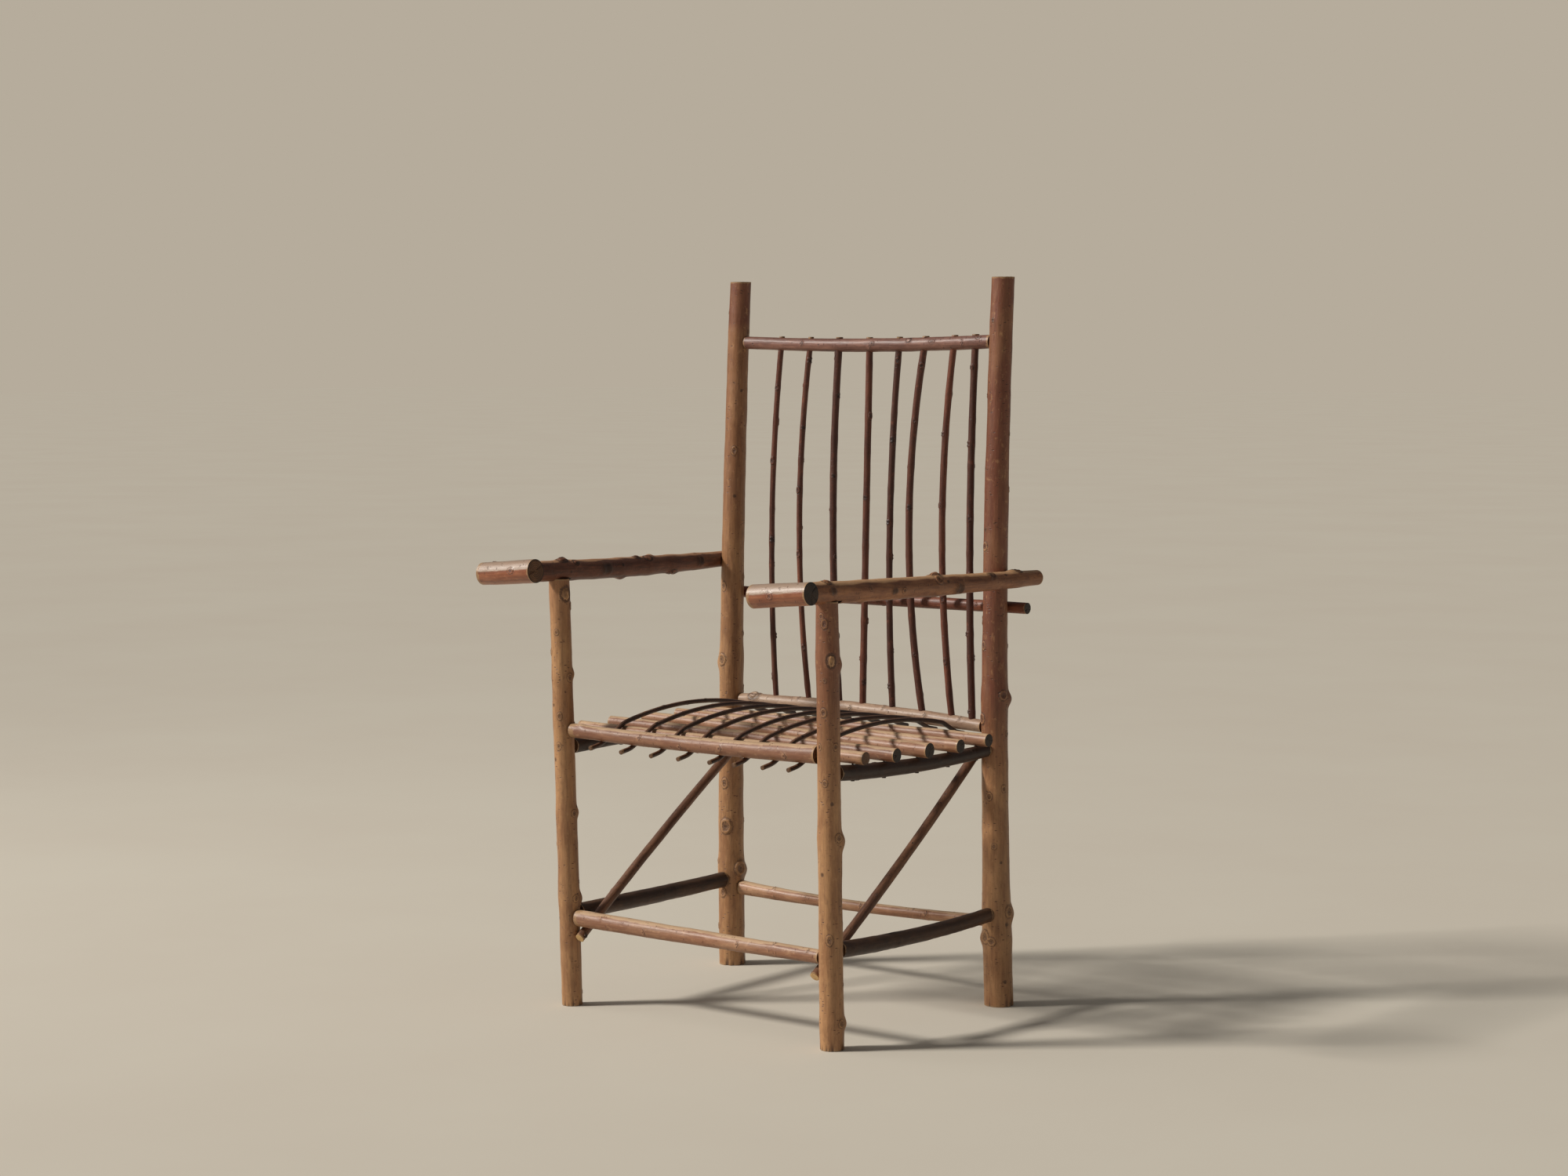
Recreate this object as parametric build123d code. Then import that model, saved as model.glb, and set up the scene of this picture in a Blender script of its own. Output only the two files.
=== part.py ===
from build123d import *
import os
from math import asin, atan2, ceil, cos, hypot, radians, sin, sqrt

# A rustic twig armchair: round sticks with the bark left on, whittled to round tenons and
# driven into bored sockets, with a seat of springy rods woven over and under its rails.
#
# Millimetres. +X is to the right of someone facing the chair, +Y to the rear, +Z up.
# The origin is on the floor under the middle of the chair. "left" and "right" are as that
# person sees them. Every stick is named by its own node in parts/.

# ---- overall sizes -------------------------------------------------------------------------
overall_height = 1105.0  # top of the back posts
front_spacing = 501.6  # between the centres of the front feet
back_spacing = 527.4  # between the centres of the back feet
seat_depth = 398.6  # between the centres of a front foot and a back foot
front_setback = 163.0  # from the origin forward to the centres of the front feet
arm_height_left = 661.0  # axis of the arm at the middle of its length
arm_height_right = 651.5
seat_height = 423.7  # axis of the front seat rail
side_seat_drop = 27.0  # the side seat rails lie this much below the front one
stretcher_height = 134.0  # axis of the lower front stretcher

# ---- uprights ------------------------------------------------------------------------------
front_leg_diameters_left = (32.4, 32.8, 32.2)  # foot, middle, top
front_leg_diameters_right = (36.4, 35.2, 33.4)
front_leg_splay = 5.1  # outward lean over the leg's height
front_leg_rake = 16.5  # forward lean over the leg's height
back_post_diameters_left = (43.6, 39.6, 34.6)  # foot, seat, top
back_post_diameters_right = (45.6, 40.8, 35.6)
back_post_lean_in = 8.1  # each post's top stands this much nearer the middle than its foot
back_post_lean_back = 18.5  # and this much further to the rear
back_post_bow_forward = 12.9  # how far the post bows forward at the seat
back_post_bow_in = 1.8
cut_end_bevel = 1.6  # on the tops of the posts and the tails of the arms

# ---- joints --------------------------------------------------------------------------------
tenon_diameter = 12.0
slim_tenon_diameter = 10.0
leg_tenon_diameter = 16.0
leg_tenon_length = 15.0
tenon_fit = 0.1  # all round a tenon in its socket
tenon_core = 1.0  # wood left between two tenons that meet in one post
tenon_root = 3.0  # how far a tenon runs back into its own stick
glue_space = 0.6  # from a tenon's end to the bottom of its socket
shoulder_gap = 0.3  # between a square shoulder and the round post it butts against
rest_gap = 0.3  # between two sticks that lie against each other
bore_run_out = 2.0  # a bore starts this far outside the wood that it enters
span_length = 42.0  # a crooked stick is built of straight spans of about this length

# ---- rails and stretchers (diameters: left or front end, middle, right or back end) ---------
front_seat_rail_diameters = (22.0, 23.6, 27.6)
front_seat_rail_sag = 3.5
side_seat_rail_diameters_left = (24.0, 23.0, 21.0)
side_seat_rail_diameters_right = (24.0, 22.6, 20.6)
side_seat_rail_rise_left = 5.0  # the left rail arches up, the right one sags
side_seat_rail_sag_right = 6.0
side_seat_rail_fall = 4.0  # their back ends lie this much lower than their front ends
back_seat_rail_rise = 11.5  # the left end of the back seat rail above the front rail's axis
back_seat_rail_tilt = 10.0  # its right end lies this much lower than its left end
back_seat_rail_arch = 5.0
back_seat_rail_diameters = (21.0, 22.6, 20.4)
top_rail_drop = 97.4  # from the post tops down to the top rail's axis
top_rail_sag = 4.6
top_rail_diameters = (20.8, 21.8, 22.0)
mid_rail_height = 606.0
mid_rail_diameters = (18.4, 19.4, 18.2)
mid_rail_overhang = 20.0  # past the outside of each post
front_stretcher_diameters = (26.0, 24.2, 21.4)
front_stretcher_tilt = 4.0  # its left end is this much higher than its right end
front_stretcher_sag = 0.5
side_stretcher_rise = 7.5  # the side stretchers lie this much above the front one
side_stretcher_diameters_left = (26.4, 26.8, 25.6)
side_stretcher_diameters_right = (25.6, 24.4, 23.0)
side_stretcher_sag_left = 1.0
side_stretcher_sag_right = 5.0
back_stretcher_drop = 6.0  # the back stretcher lies this much below the front one
back_stretcher_sag = 5.5
back_stretcher_diameters = (23.6, 17.6, 18.6)

# ---- braces --------------------------------------------------------------------------------
brace_diameter = 15.4
brace_foot_height_left = 109.5  # axis of the brace where it crosses the front leg
brace_foot_height_right = 106.5
brace_head_drop_left = 47.7  # from the front seat rail to where it crosses the back post
brace_head_drop_right = 30.7
brace_foot_poke = 6.5  # past the axis of the front leg
brace_head_poke = 12.0  # past the axis of the back post
brace_bow_left = 6.0  # upward
brace_bow_right = -8.0
brace_bow_place = 0.4  # share of the length, from the foot, where the bow is greatest

# ---- arms and hand grips -------------------------------------------------------------------
arm_diameters_left = (32.0, 30.8, 25.0)  # front, middle, tail
arm_diameters_right = (32.4, 32.0, 24.6)
arm_reach = 104.5  # from the axis of the front leg's top forward to the hand grip
arm_front_out = 259.0  # from the middle of the chair out to the arm's axis, at the grip
arm_middle_out = 263.5
arm_notch = 4.0  # how deep the arm is hollowed to fit round the back post
arm_tail_left = 47.0  # from the back post's axis to the cut end of the arm
arm_tail_right = 62.0
arm_tail_flare_left = 4.3  # the cut end stands this much further out than the arm at the post
arm_tail_flare_right = 5.7
arm_tail_drop = 1.0
arm_tenon_root = 8.0  # how far the tenon for the hand grip runs back into the arm
grip_front_wood = 7.0  # wood left in the grip in front of that tenon
arm_front_lift = 7.0  # the arm's front end is this much higher than its middle
arm_seat_flat = 4.0  # depth of the flat shaved under the arm for the front leg
arm_flat_margin = 1.0  # how far the flat runs past the leg, in front and behind
grip_length_left = 107.0
grip_length_right = 103.0
grip_diameters_left = (35.0, 36.0, 37.0)
grip_diameters_right = (34.6, 34.0, 33.6)
grip_tilt = 4.8  # degrees, right end up
grip_bevel = 2.2
arm_dowel_diameter = 9.0
arm_dowel_length = 26.0
arm_dowel_in_post = 14.3  # how much of it lies in the back post

# ---- back spindles: each one's place along the back at its foot, waist and top, and its
# diameter. Places are shares of the half width between the posts.
spindle_count = 8
spindle_foot_places = (-0.64, -0.385, -0.15, 0.03, 0.252, 0.470, 0.686, 0.835)
spindle_waist_places = (-0.695, -0.48, -0.22, 0.03, 0.208, 0.350, 0.592, 0.793)
spindle_top_places = (-0.648, -0.426, -0.203, 0.032, 0.249, 0.431, 0.646, 0.803)
spindle_diameters = (9.4, 9.6, 11.8, 11.4, 10.6, 11.6, 11.0, 11.6)
spindle_tip_diameter = 9.0
spindle_tip_poke = 1.6  # how far the tips show above the top rail
spindle_socket_depth = 11.0  # into the back seat rail
spindle_shoulder = 1.0  # bare tip between a rail and the whittled part
spindle_whittle = 14.0  # length over which a spindle is thinned to its tip

# ---- seat logs, front to back: places are shares of the way from leg axis to post axis
seat_log_places_left = (0.150, 0.325, 0.525, 0.722, 0.910)
seat_log_places_right = (0.135, 0.317, 0.513, 0.703, 0.880)
seat_log_diameters_left = (19.6, 19.2, 19.6, 19.4, 19.8)
seat_log_diameters_right = (19.6, 21.6, 23.6, 21.0, 20.4)
seat_log_overhang_left = 20.0  # past the axis of the side rail
seat_log_overhang_right = 24.0

# ---- woven seat rods: places are shares of the half width between the front legs
seat_twig_count = 8
seat_twig_diameter = 7.2
seat_twig_front_places = (-0.720, -0.478, -0.244, -0.034, 0.204, 0.390, 0.602, 0.792)
seat_twig_rear_places = (-0.790, -0.560, -0.345, -0.115, 0.115, 0.330, 0.550, 0.755)
seat_twig_front_poke = 23.0  # in front of the axis of the front seat rail
seat_twig_rear_poke = 16.0
seat_twig_front_bend = 60.0  # radius of the bends at the front rail and the first log
seat_twig_rear_bend = 30.0  # radius of the bends at the last log and the back rail
seat_twig_bend_share = 0.85  # of the largest radius that fits between two sticks, at most
seat_crown_radius = 760.0  # radius of the long arch over the logs
twig_front_end_slope = 8.0  # degrees, upward from here to the first log
twig_front_rail_slope = 21.0
twig_first_log_slope = 20.0
twig_last_log_lift = 6.0  # the rods spring clear of the last log by this much
twig_last_log_slope = 15.0  # degrees, downward from here on
twig_back_rail_slope = 17.0
twig_rear_end_slope = 11.0

# ---- nails ---------------------------------------------------------------------------------
nail_diameter = 2.8
nail_head_diameter = 6.0
nail_head_thickness = 1.2
nail_head_proud = 0.6
nail_fit = 0.05
brace_nail_length = 28.0
mid_rail_nail_length = 36.0
seat_nail_length = 34.0

UP = Vector(0, 0, 1)
DOWN = Vector(0, 0, -1)
BACK = Vector(0, 1, 0)
FRONT = Vector(0, -1, 0)
RIGHT = Vector(1, 0, 0)
AXES = {"x": 0, "y": 1, "z": 2}


def coordinate(point, axis):
    return (point.X, point.Y, point.Z)[AXES[axis]]


def quarter_rounds(direction, circles):
    """Four faces that wrap a quarter turn each round a stick, straight from one circle
    (centre, radius) to the next."""
    plane = Plane(circles[0][0], z_dir=direction)
    compass = [plane.x_dir, plane.y_dir, plane.x_dir * -1, plane.y_dir * -1]
    corner_weight = sqrt(0.5)  # makes a quadratic arc an exact quarter circle
    weights = [[1.0] * 2, [corner_weight] * 2, [1.0] * 2]
    faces = []
    for i in range(4):
        first, last = compass[i], compass[(i + 1) % 4]
        points = [[centre + out * radius for centre, radius in circles]
                  for out in (first, first + last, last)]
        faces.append(Face.make_bezier_surface(points, weights))
    return faces


def barrel(direction, circles):
    """The solid that runs straight from each circle (centre, radius) to the next, with flat
    ends. Two circles at one place make a square shoulder."""
    faces = []
    for pair in zip(circles, circles[1:]):
        faces += quarter_rounds(direction, pair)
    for centre, radius in (circles[0], circles[-1]):
        faces.append((Plane(centre, z_dir=direction) * Circle(radius)).face())
    return Solid(Shell(Face.sew_faces(faces)[0]))


class Stick:
    """A round stick whose axis is one gentle curve through three points, with a diameter at
    each. Its cross-sections all lie square to one direction, the chord if none is given."""

    def __init__(self, start, middle, end, diameters, square_to=None, knots=()):
        self.start, self.middle, self.end = start, middle, end
        self.diameters = diameters
        self.chord = end - start
        self.share = (middle - start).dot(self.chord) / self.chord.dot(self.chord)
        self.direction = square_to or self.chord.normalized()
        self.knots = knots

    def weights(self, t):
        """What each of the three points counts for at share t of the length."""
        m = self.share
        return (t - m) * (t - 1) / m, t * (t - 1) / (m * (m - 1)), t * (t - m) / (1 - m)

    def at(self, t):
        a, b, c = self.weights(t)
        return self.start * a + self.middle * b + self.end * c

    def radius(self, t):
        return sum(w * d for w, d in zip(self.weights(t), self.diameters)) / 2

    def where(self, axis, value):
        """The share of the length at which one coordinate of the axis has this value."""
        run = coordinate(self.chord, axis)
        t = (value - coordinate(self.start, axis)) / run
        for _ in range(6):
            t += (value - coordinate(self.at(t), axis)) / run
        return t

    def place(self, axis, value):
        """The axis point and the radius where one coordinate has this value."""
        t = self.where(axis, value)
        return self.at(t), self.radius(t)

    def circle(self, t, inset=0.0):
        """The cross-section at share t of the length: its centre and its radius."""
        return self.at(t), self.radius(t) - inset

    def circles(self, first=0.0, last=1.0):
        """The cross-sections from one share of the length to another, a span apart."""
        spans = ceil((last - first) * self.chord.length / span_length)
        return [self.circle(first + (last - first) * i / spans) for i in range(spans + 1)]

    def solid(self, bevels=(0.0, 0.0)):
        """The stick with a bevel round the cut end at its start or its end, and with its
        knots as round lumps half sunk in its side."""
        length = self.chord.length
        circles = self.circles(bevels[0] / length, 1 - bevels[1] / length)
        if bevels[0]:
            circles.insert(0, self.circle(0, bevels[0]))
        if bevels[1]:
            circles.append(self.circle(1, bevels[1]))
        body = barrel(self.direction, circles)
        for t, side, height, half_length in self.knots:
            lump = (half_length ** 2 + height ** 2) / (2 * height)
            centre = self.at(t) + side * (self.radius(t) + height - lump)
            body += Pos(centre) * Sphere(lump)
        return body


def toward(angle):
    """The level direction at this angle, counter-clockwise from +X seen from above."""
    return Vector(cos(radians(angle)), sin(radians(angle)), 0)


def rod(start, direction, length, diameter):
    """A plain cylinder from a point along a direction."""
    base = Cylinder(diameter / 2, length, align=(Align.CENTER, Align.CENTER, Align.MIN))
    return Plane(start, z_dir=direction) * base


pieces = {}  # node name -> solid or list of solids
hollows = {}  # node name -> what is bored or cut out of it


def hollow(name, tool):
    hollows.setdefault(name, []).append(tool)


def mirror_x(side):
    return -1 if side == "left" else 1


# ---- axes of the uprights ------------------------------------------------------------------
front_leg_y = -front_setback
back_post_y = seat_depth - front_setback
front_leg_diameters = {"left": front_leg_diameters_left, "right": front_leg_diameters_right}
back_post_diameters = {"left": back_post_diameters_left, "right": back_post_diameters_right}
arm_diameters = {"left": arm_diameters_left, "right": arm_diameters_right}
arm_height = {"left": arm_height_left, "right": arm_height_right}
arm_tail = {"left": arm_tail_left, "right": arm_tail_right}
arm_tail_flare = {"left": arm_tail_flare_left, "right": arm_tail_flare_right}
sides = ("left", "right")

# knots: (share of the length, side, height, half length)
post_knots = {
    "left": (
        (0.446, toward(190), 4.5, 11.0),
        (0.205, toward(285), 3.0, 10.0),
        (0.140, toward(45), 4.0, 11.0)),
    "right": (
        (0.424, toward(38), 5.0, 13.0),
        (0.128, toward(35), 4.0, 12.0),
        (0.093, toward(215), 3.0, 10.0)),
}
leg_knots = {
    "left": (
        (0.252, toward(38), 3.4, 9.0),
        (0.455, toward(38), 2.4, 8.0),
        (0.780, toward(38), 2.4, 8.0)),
    "right": (
        (0.468, toward(38), 4.0, 10.0),
        (0.860, toward(38), 3.0, 9.0),
        (0.060, toward(38), 2.6, 9.0)),
}
arm_knots = {
    "left": (
        (0.200, UP, 2.4, 8.0),
        (0.440, DOWN, 3.0, 9.0),
        (0.570, UP, 3.0, 9.0),
        (0.680, DOWN, 2.4, 8.0)),
    "right": (
        (0.300, DOWN, 2.4, 8.0),
        (0.605, UP, 3.0, 9.0),
        (0.900, UP, 2.4, 8.0)),
}

back_posts = {}
for side in sides:
    s = mirror_x(side)
    foot = Vector(s * back_spacing / 2, back_post_y, 0)
    top = foot + Vector(-s * back_post_lean_in, back_post_lean_back, overall_height)
    seat_share = seat_height / overall_height
    bow = Vector(-s * back_post_bow_in, -back_post_bow_forward, 0)
    seat_point = foot + (top - foot) * seat_share + bow
    back_posts[side] = Stick(foot, seat_point, top, back_post_diameters[side], UP, post_knots[side])

# ---- arms: over the front legs, let in round the outside of the back posts -------------------
arms = {}
leg_top_y = front_leg_y - front_leg_rake
grip_y = leg_top_y - arm_reach
for side in sides:
    s = mirror_x(side)
    post_point, post_radius = back_posts[side].place("z", arm_height[side])
    tail_radius = arm_diameters[side][2] / 2
    beside_post = abs(post_point.X) + post_radius + tail_radius - arm_notch
    tail_out = beside_post + arm_tail_flare[side]
    front = Vector(s * arm_front_out, grip_y, arm_height[side] + arm_front_lift)
    tail = Vector(s * tail_out, post_point.Y + arm_tail[side], arm_height[side] - arm_tail_drop)
    middle = Vector(s * arm_middle_out, (front.Y + tail.Y) / 2, arm_height[side])
    arms[side] = Stick(front, middle, tail, arm_diameters[side], BACK, arm_knots[side])

# ---- front legs, from the floor to the flat shaved under each arm ----------------------------
front_legs = {}
for side in sides:
    s = mirror_x(side)
    foot = Vector(s * front_spacing / 2, front_leg_y, 0)
    arm_point, arm_radius = arms[side].place("y", leg_top_y)
    top_z = arm_point.Z - arm_radius + arm_seat_flat - shoulder_gap
    top = Vector(foot.X + s * front_leg_splay, leg_top_y, top_z)
    front_legs[side] = Stick(
        foot, (foot + top) * 0.5, top, front_leg_diameters[side], UP, leg_knots[side])

hosts = {f"front_leg_{side}": front_legs[side] for side in sides}
hosts.update({f"back_post_{side}": back_posts[side] for side in sides})
sticks = dict(hosts)
sticks.update({f"arm_{side}": arms[side] for side in sides})


def tenon_tip(host_name, start, inward, diameter):
    """The end of a round tenon that goes into its host from a shoulder, with the socket bored
    for it. It stops short of the host's axis, so that two tenons at one height don't meet."""
    centre = hosts[host_name].place("z", start.Z)[0]
    depth = (centre - start).dot(inward) - diameter / 2 - tenon_core - glue_space
    mouth = start - inward * bore_run_out
    socket_length = bore_run_out + depth + glue_space
    hollow(host_name, rod(mouth, inward, socket_length, diameter + 2 * tenon_fit))
    return start + inward * depth


def rail(name, start_host, start_height, end_host, end_height, bow, diameters, tenon_size):
    """A stick with square shoulders that butts against two uprights, with a tenon in each."""
    a, a_radius = hosts[start_host].place("z", start_height)
    b, b_radius = hosts[end_host].place("z", end_height)
    along = (b - a).normalized()
    start = a + along * (a_radius + shoulder_gap)
    end = b - along * (b_radius + shoulder_gap)
    stick = Stick(start, (start + end) * 0.5 + bow, end, diameters)
    sticks[name] = stick
    tenon_radius = tenon_size / 2
    pieces[name] = barrel(along, [
        (tenon_tip(start_host, start, along * -1, tenon_size), tenon_radius),
        (start, tenon_radius),
        *stick.circles(),
        (end, tenon_radius),
        (tenon_tip(end_host, end, along, tenon_size), tenon_radius)])


# ---- rails and stretchers --------------------------------------------------------------------
rail("front_seat_rail", "front_leg_left", seat_height, "front_leg_right", seat_height,
     DOWN * front_seat_rail_sag, front_seat_rail_diameters, tenon_diameter)
side_rail_height = seat_height - side_seat_drop
side_bow = {"left": UP * side_seat_rail_rise_left, "right": DOWN * side_seat_rail_sag_right}
side_rail_diameters = {"left": side_seat_rail_diameters_left, "right": side_seat_rail_diameters_right}
for side in sides:
    rail(f"side_seat_rail_{side}", f"front_leg_{side}", side_rail_height, f"back_post_{side}",
         side_rail_height - side_seat_rail_fall, side_bow[side], side_rail_diameters[side], tenon_diameter)
back_rail_height = seat_height + back_seat_rail_rise
rail("back_seat_rail", "back_post_left", back_rail_height, "back_post_right",
     back_rail_height - back_seat_rail_tilt, UP * back_seat_rail_arch,
     back_seat_rail_diameters, tenon_diameter)
top_rail_height = overall_height - top_rail_drop
rail("top_rail", "back_post_left", top_rail_height, "back_post_right", top_rail_height,
     DOWN * top_rail_sag, top_rail_diameters, slim_tenon_diameter)
rail("lower_front_stretcher", "front_leg_left", stretcher_height + front_stretcher_tilt / 2,
     "front_leg_right", stretcher_height - front_stretcher_tilt / 2, DOWN * front_stretcher_sag,
     front_stretcher_diameters, tenon_diameter)
side_stretcher_height = stretcher_height + side_stretcher_rise
side_stretcher_sag = {"left": side_stretcher_sag_left, "right": side_stretcher_sag_right}
side_stretcher_diameters = {
    "left": side_stretcher_diameters_left, "right": side_stretcher_diameters_right}
for side in sides:
    rail(f"lower_side_stretcher_{side}", f"front_leg_{side}", side_stretcher_height,
         f"back_post_{side}", side_stretcher_height, DOWN * side_stretcher_sag[side],
         side_stretcher_diameters[side], tenon_diameter)
back_stretcher_height = stretcher_height - back_stretcher_drop
rail("lower_back_stretcher", "back_post_left", back_stretcher_height, "back_post_right",
     back_stretcher_height, DOWN * back_stretcher_sag, back_stretcher_diameters, tenon_diameter)

# ---- mid back rail: nailed across the backs of the posts, its cut ends running past them -----
mid_rail_radius = mid_rail_diameters[0] / 2
mid_rail_ends = []
for side in sides:
    s = mirror_x(side)
    post_point, post_radius = back_posts[side].place("z", mid_rail_height)
    behind = post_radius + mid_rail_radius + rest_gap
    mid_rail_ends.append(post_point + BACK * behind + RIGHT * s * (post_radius + mid_rail_overhang))
mid_rail = Stick(mid_rail_ends[0], (mid_rail_ends[0] + mid_rail_ends[1]) * 0.5, mid_rail_ends[1],
                 mid_rail_diameters)
sticks["mid_back_rail"] = mid_rail
pieces["mid_back_rail"] = mid_rail.solid()

# ---- spindles: tips through the top rail, feet in the back seat rail -------------------------
half_back = back_spacing / 2 - back_post_lean_in / 2
lower_rail, upper_rail = sticks["back_seat_rail"], sticks["top_rail"]
for i in range(spindle_count):
    foot_centre, foot_rail_radius = lower_rail.place("x", spindle_foot_places[i] * half_back)
    top_centre, top_rail_radius = upper_rail.place("x", spindle_top_places[i] * half_back)
    along = (top_centre - foot_centre).normalized()
    foot = foot_centre + along * (foot_rail_radius - spindle_socket_depth)
    tip = top_centre + along * (top_rail_radius + spindle_tip_poke)
    start = foot_centre + along * (foot_rail_radius + spindle_shoulder)
    end = top_centre - along * (top_rail_radius + spindle_shoulder)
    straight = (start + end) * 0.5
    bow = RIGHT * (spindle_waist_places[i] * half_back - straight.X)
    thick = spindle_diameters[i]
    spindle = Stick(start, straight + bow, end, (thick, thick, thick), along)
    whittled = spindle_whittle / (end - start).length
    tip_radius = spindle_tip_diameter / 2
    name = f"spindle_{i + 1}"
    sticks[name] = spindle
    pieces[name] = barrel(along, [
        (foot, tip_radius),
        (start, tip_radius),
        *spindle.circles(whittled, 1 - whittled),
        (end, tip_radius),
        (tip, tip_radius)])
    socket = spindle_tip_diameter + 2 * tenon_fit
    socket_length = (start - foot).length + glue_space + bore_run_out
    hollow("back_seat_rail", rod(foot - along * glue_space, along, socket_length, socket))
    hollow("top_rail", rod(end, along, (tip - end).length + bore_run_out, socket))

# ---- seat logs: laid across the side seat rails, their cut ends overhanging ------------------
seat_logs = []
for i in range(len(seat_log_places_left)):
    seats = {}
    for side, place, diameter in (
            ("left", seat_log_places_left[i], seat_log_diameters_left[i]),
            ("right", seat_log_places_right[i], seat_log_diameters_right[i])):
        carrier = sticks[f"side_seat_rail_{side}"]
        leg_point, _ = front_legs[side].place("z", side_rail_height)
        post_point, _ = back_posts[side].place("z", side_rail_height)
        y = leg_point.Y + (post_point.Y - leg_point.Y) * place
        point, carrier_radius = carrier.place("y", y)
        seats[side] = point + UP * (carrier_radius + diameter / 2 + rest_gap)
    along = (seats["right"] - seats["left"]).normalized()
    start = seats["left"] - along * seat_log_overhang_left
    end = seats["right"] + along * seat_log_overhang_right
    log_diameters = (
        seat_log_diameters_left[i],
        (seat_log_diameters_left[i] + seat_log_diameters_right[i]) / 2,
        seat_log_diameters_right[i])
    log = Stick(start, (start + end) * 0.5, end, log_diameters)
    name = f"seat_log_{i + 1}"
    sticks[name] = log
    seat_logs.append(log)
    pieces[name] = log.solid()

# ---- woven seat rods -------------------------------------------------------------------------
# Each rod lies in an upright plane. In that plane (s along the seat, z up) it runs straight,
# bends up round the underside of the front rail, bends over the first log, springs in one long
# arch to the last log, and bends under the back rail. All runs and bends meet tangentially.


def under(centre, bend, slope):
    """The point of a bend below its centre where the rod has this slope."""
    return centre[0] + bend * sin(slope), centre[1] - bend * cos(slope)


def over(centre, bend, slope):
    """The point of a bend above its centre where the rod has this slope."""
    return centre[0] - bend * sin(slope), centre[1] + bend * cos(slope)


def bend_centre(stick_centre, stick_reach, bend, slope, point_on):
    """The centre of a bend whose rod touches a stick where the rod has this slope."""
    touch = point_on(stick_centre, stick_reach, slope)
    offset = point_on((0.0, 0.0), bend, slope)
    return touch[0] - offset[0], touch[1] - offset[1]


def crossing_slope(start_centre, end_centre, start_bend, end_bend, sign):
    """The slope of the straight run that joins two bends on opposite sides of it."""
    ds, dz = end_centre[0] - start_centre[0], end_centre[1] - start_centre[1]
    return atan2(dz, ds) + sign * asin((start_bend + end_bend) / hypot(ds, dz))


def fitting_bend(wanted, first, last, first_slope, last_slope, sign):
    """The wanted radius of two opposite bends, or less where the places at which the rod
    touches the two sticks leave no room for it."""
    ds, dz = last[0] - first[0], last[1] - first[1]
    slope = (first_slope + last_slope) / 2
    across = sign * (dz * cos(slope) - ds * sin(slope))
    if across <= 0:
        return wanted
    return min(wanted, seat_twig_bend_share * (ds ** 2 + dz ** 2) / (4 * across))


def arch_centre(first, last, first_reach, last_reach):
    """The centre of the long arch that both bends over the logs run into: below them, at its
    own distance from each."""
    ds, dz = last[0] - first[0], last[1] - first[1]
    chord = hypot(ds, dz)
    forward = (first_reach ** 2 - last_reach ** 2 + chord ** 2) / (2 * chord)
    drop = sqrt(first_reach ** 2 - forward ** 2)
    return (
        first[0] + (ds * forward + dz * drop) / chord,
        first[1] + (dz * forward - ds * drop) / chord)


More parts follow.
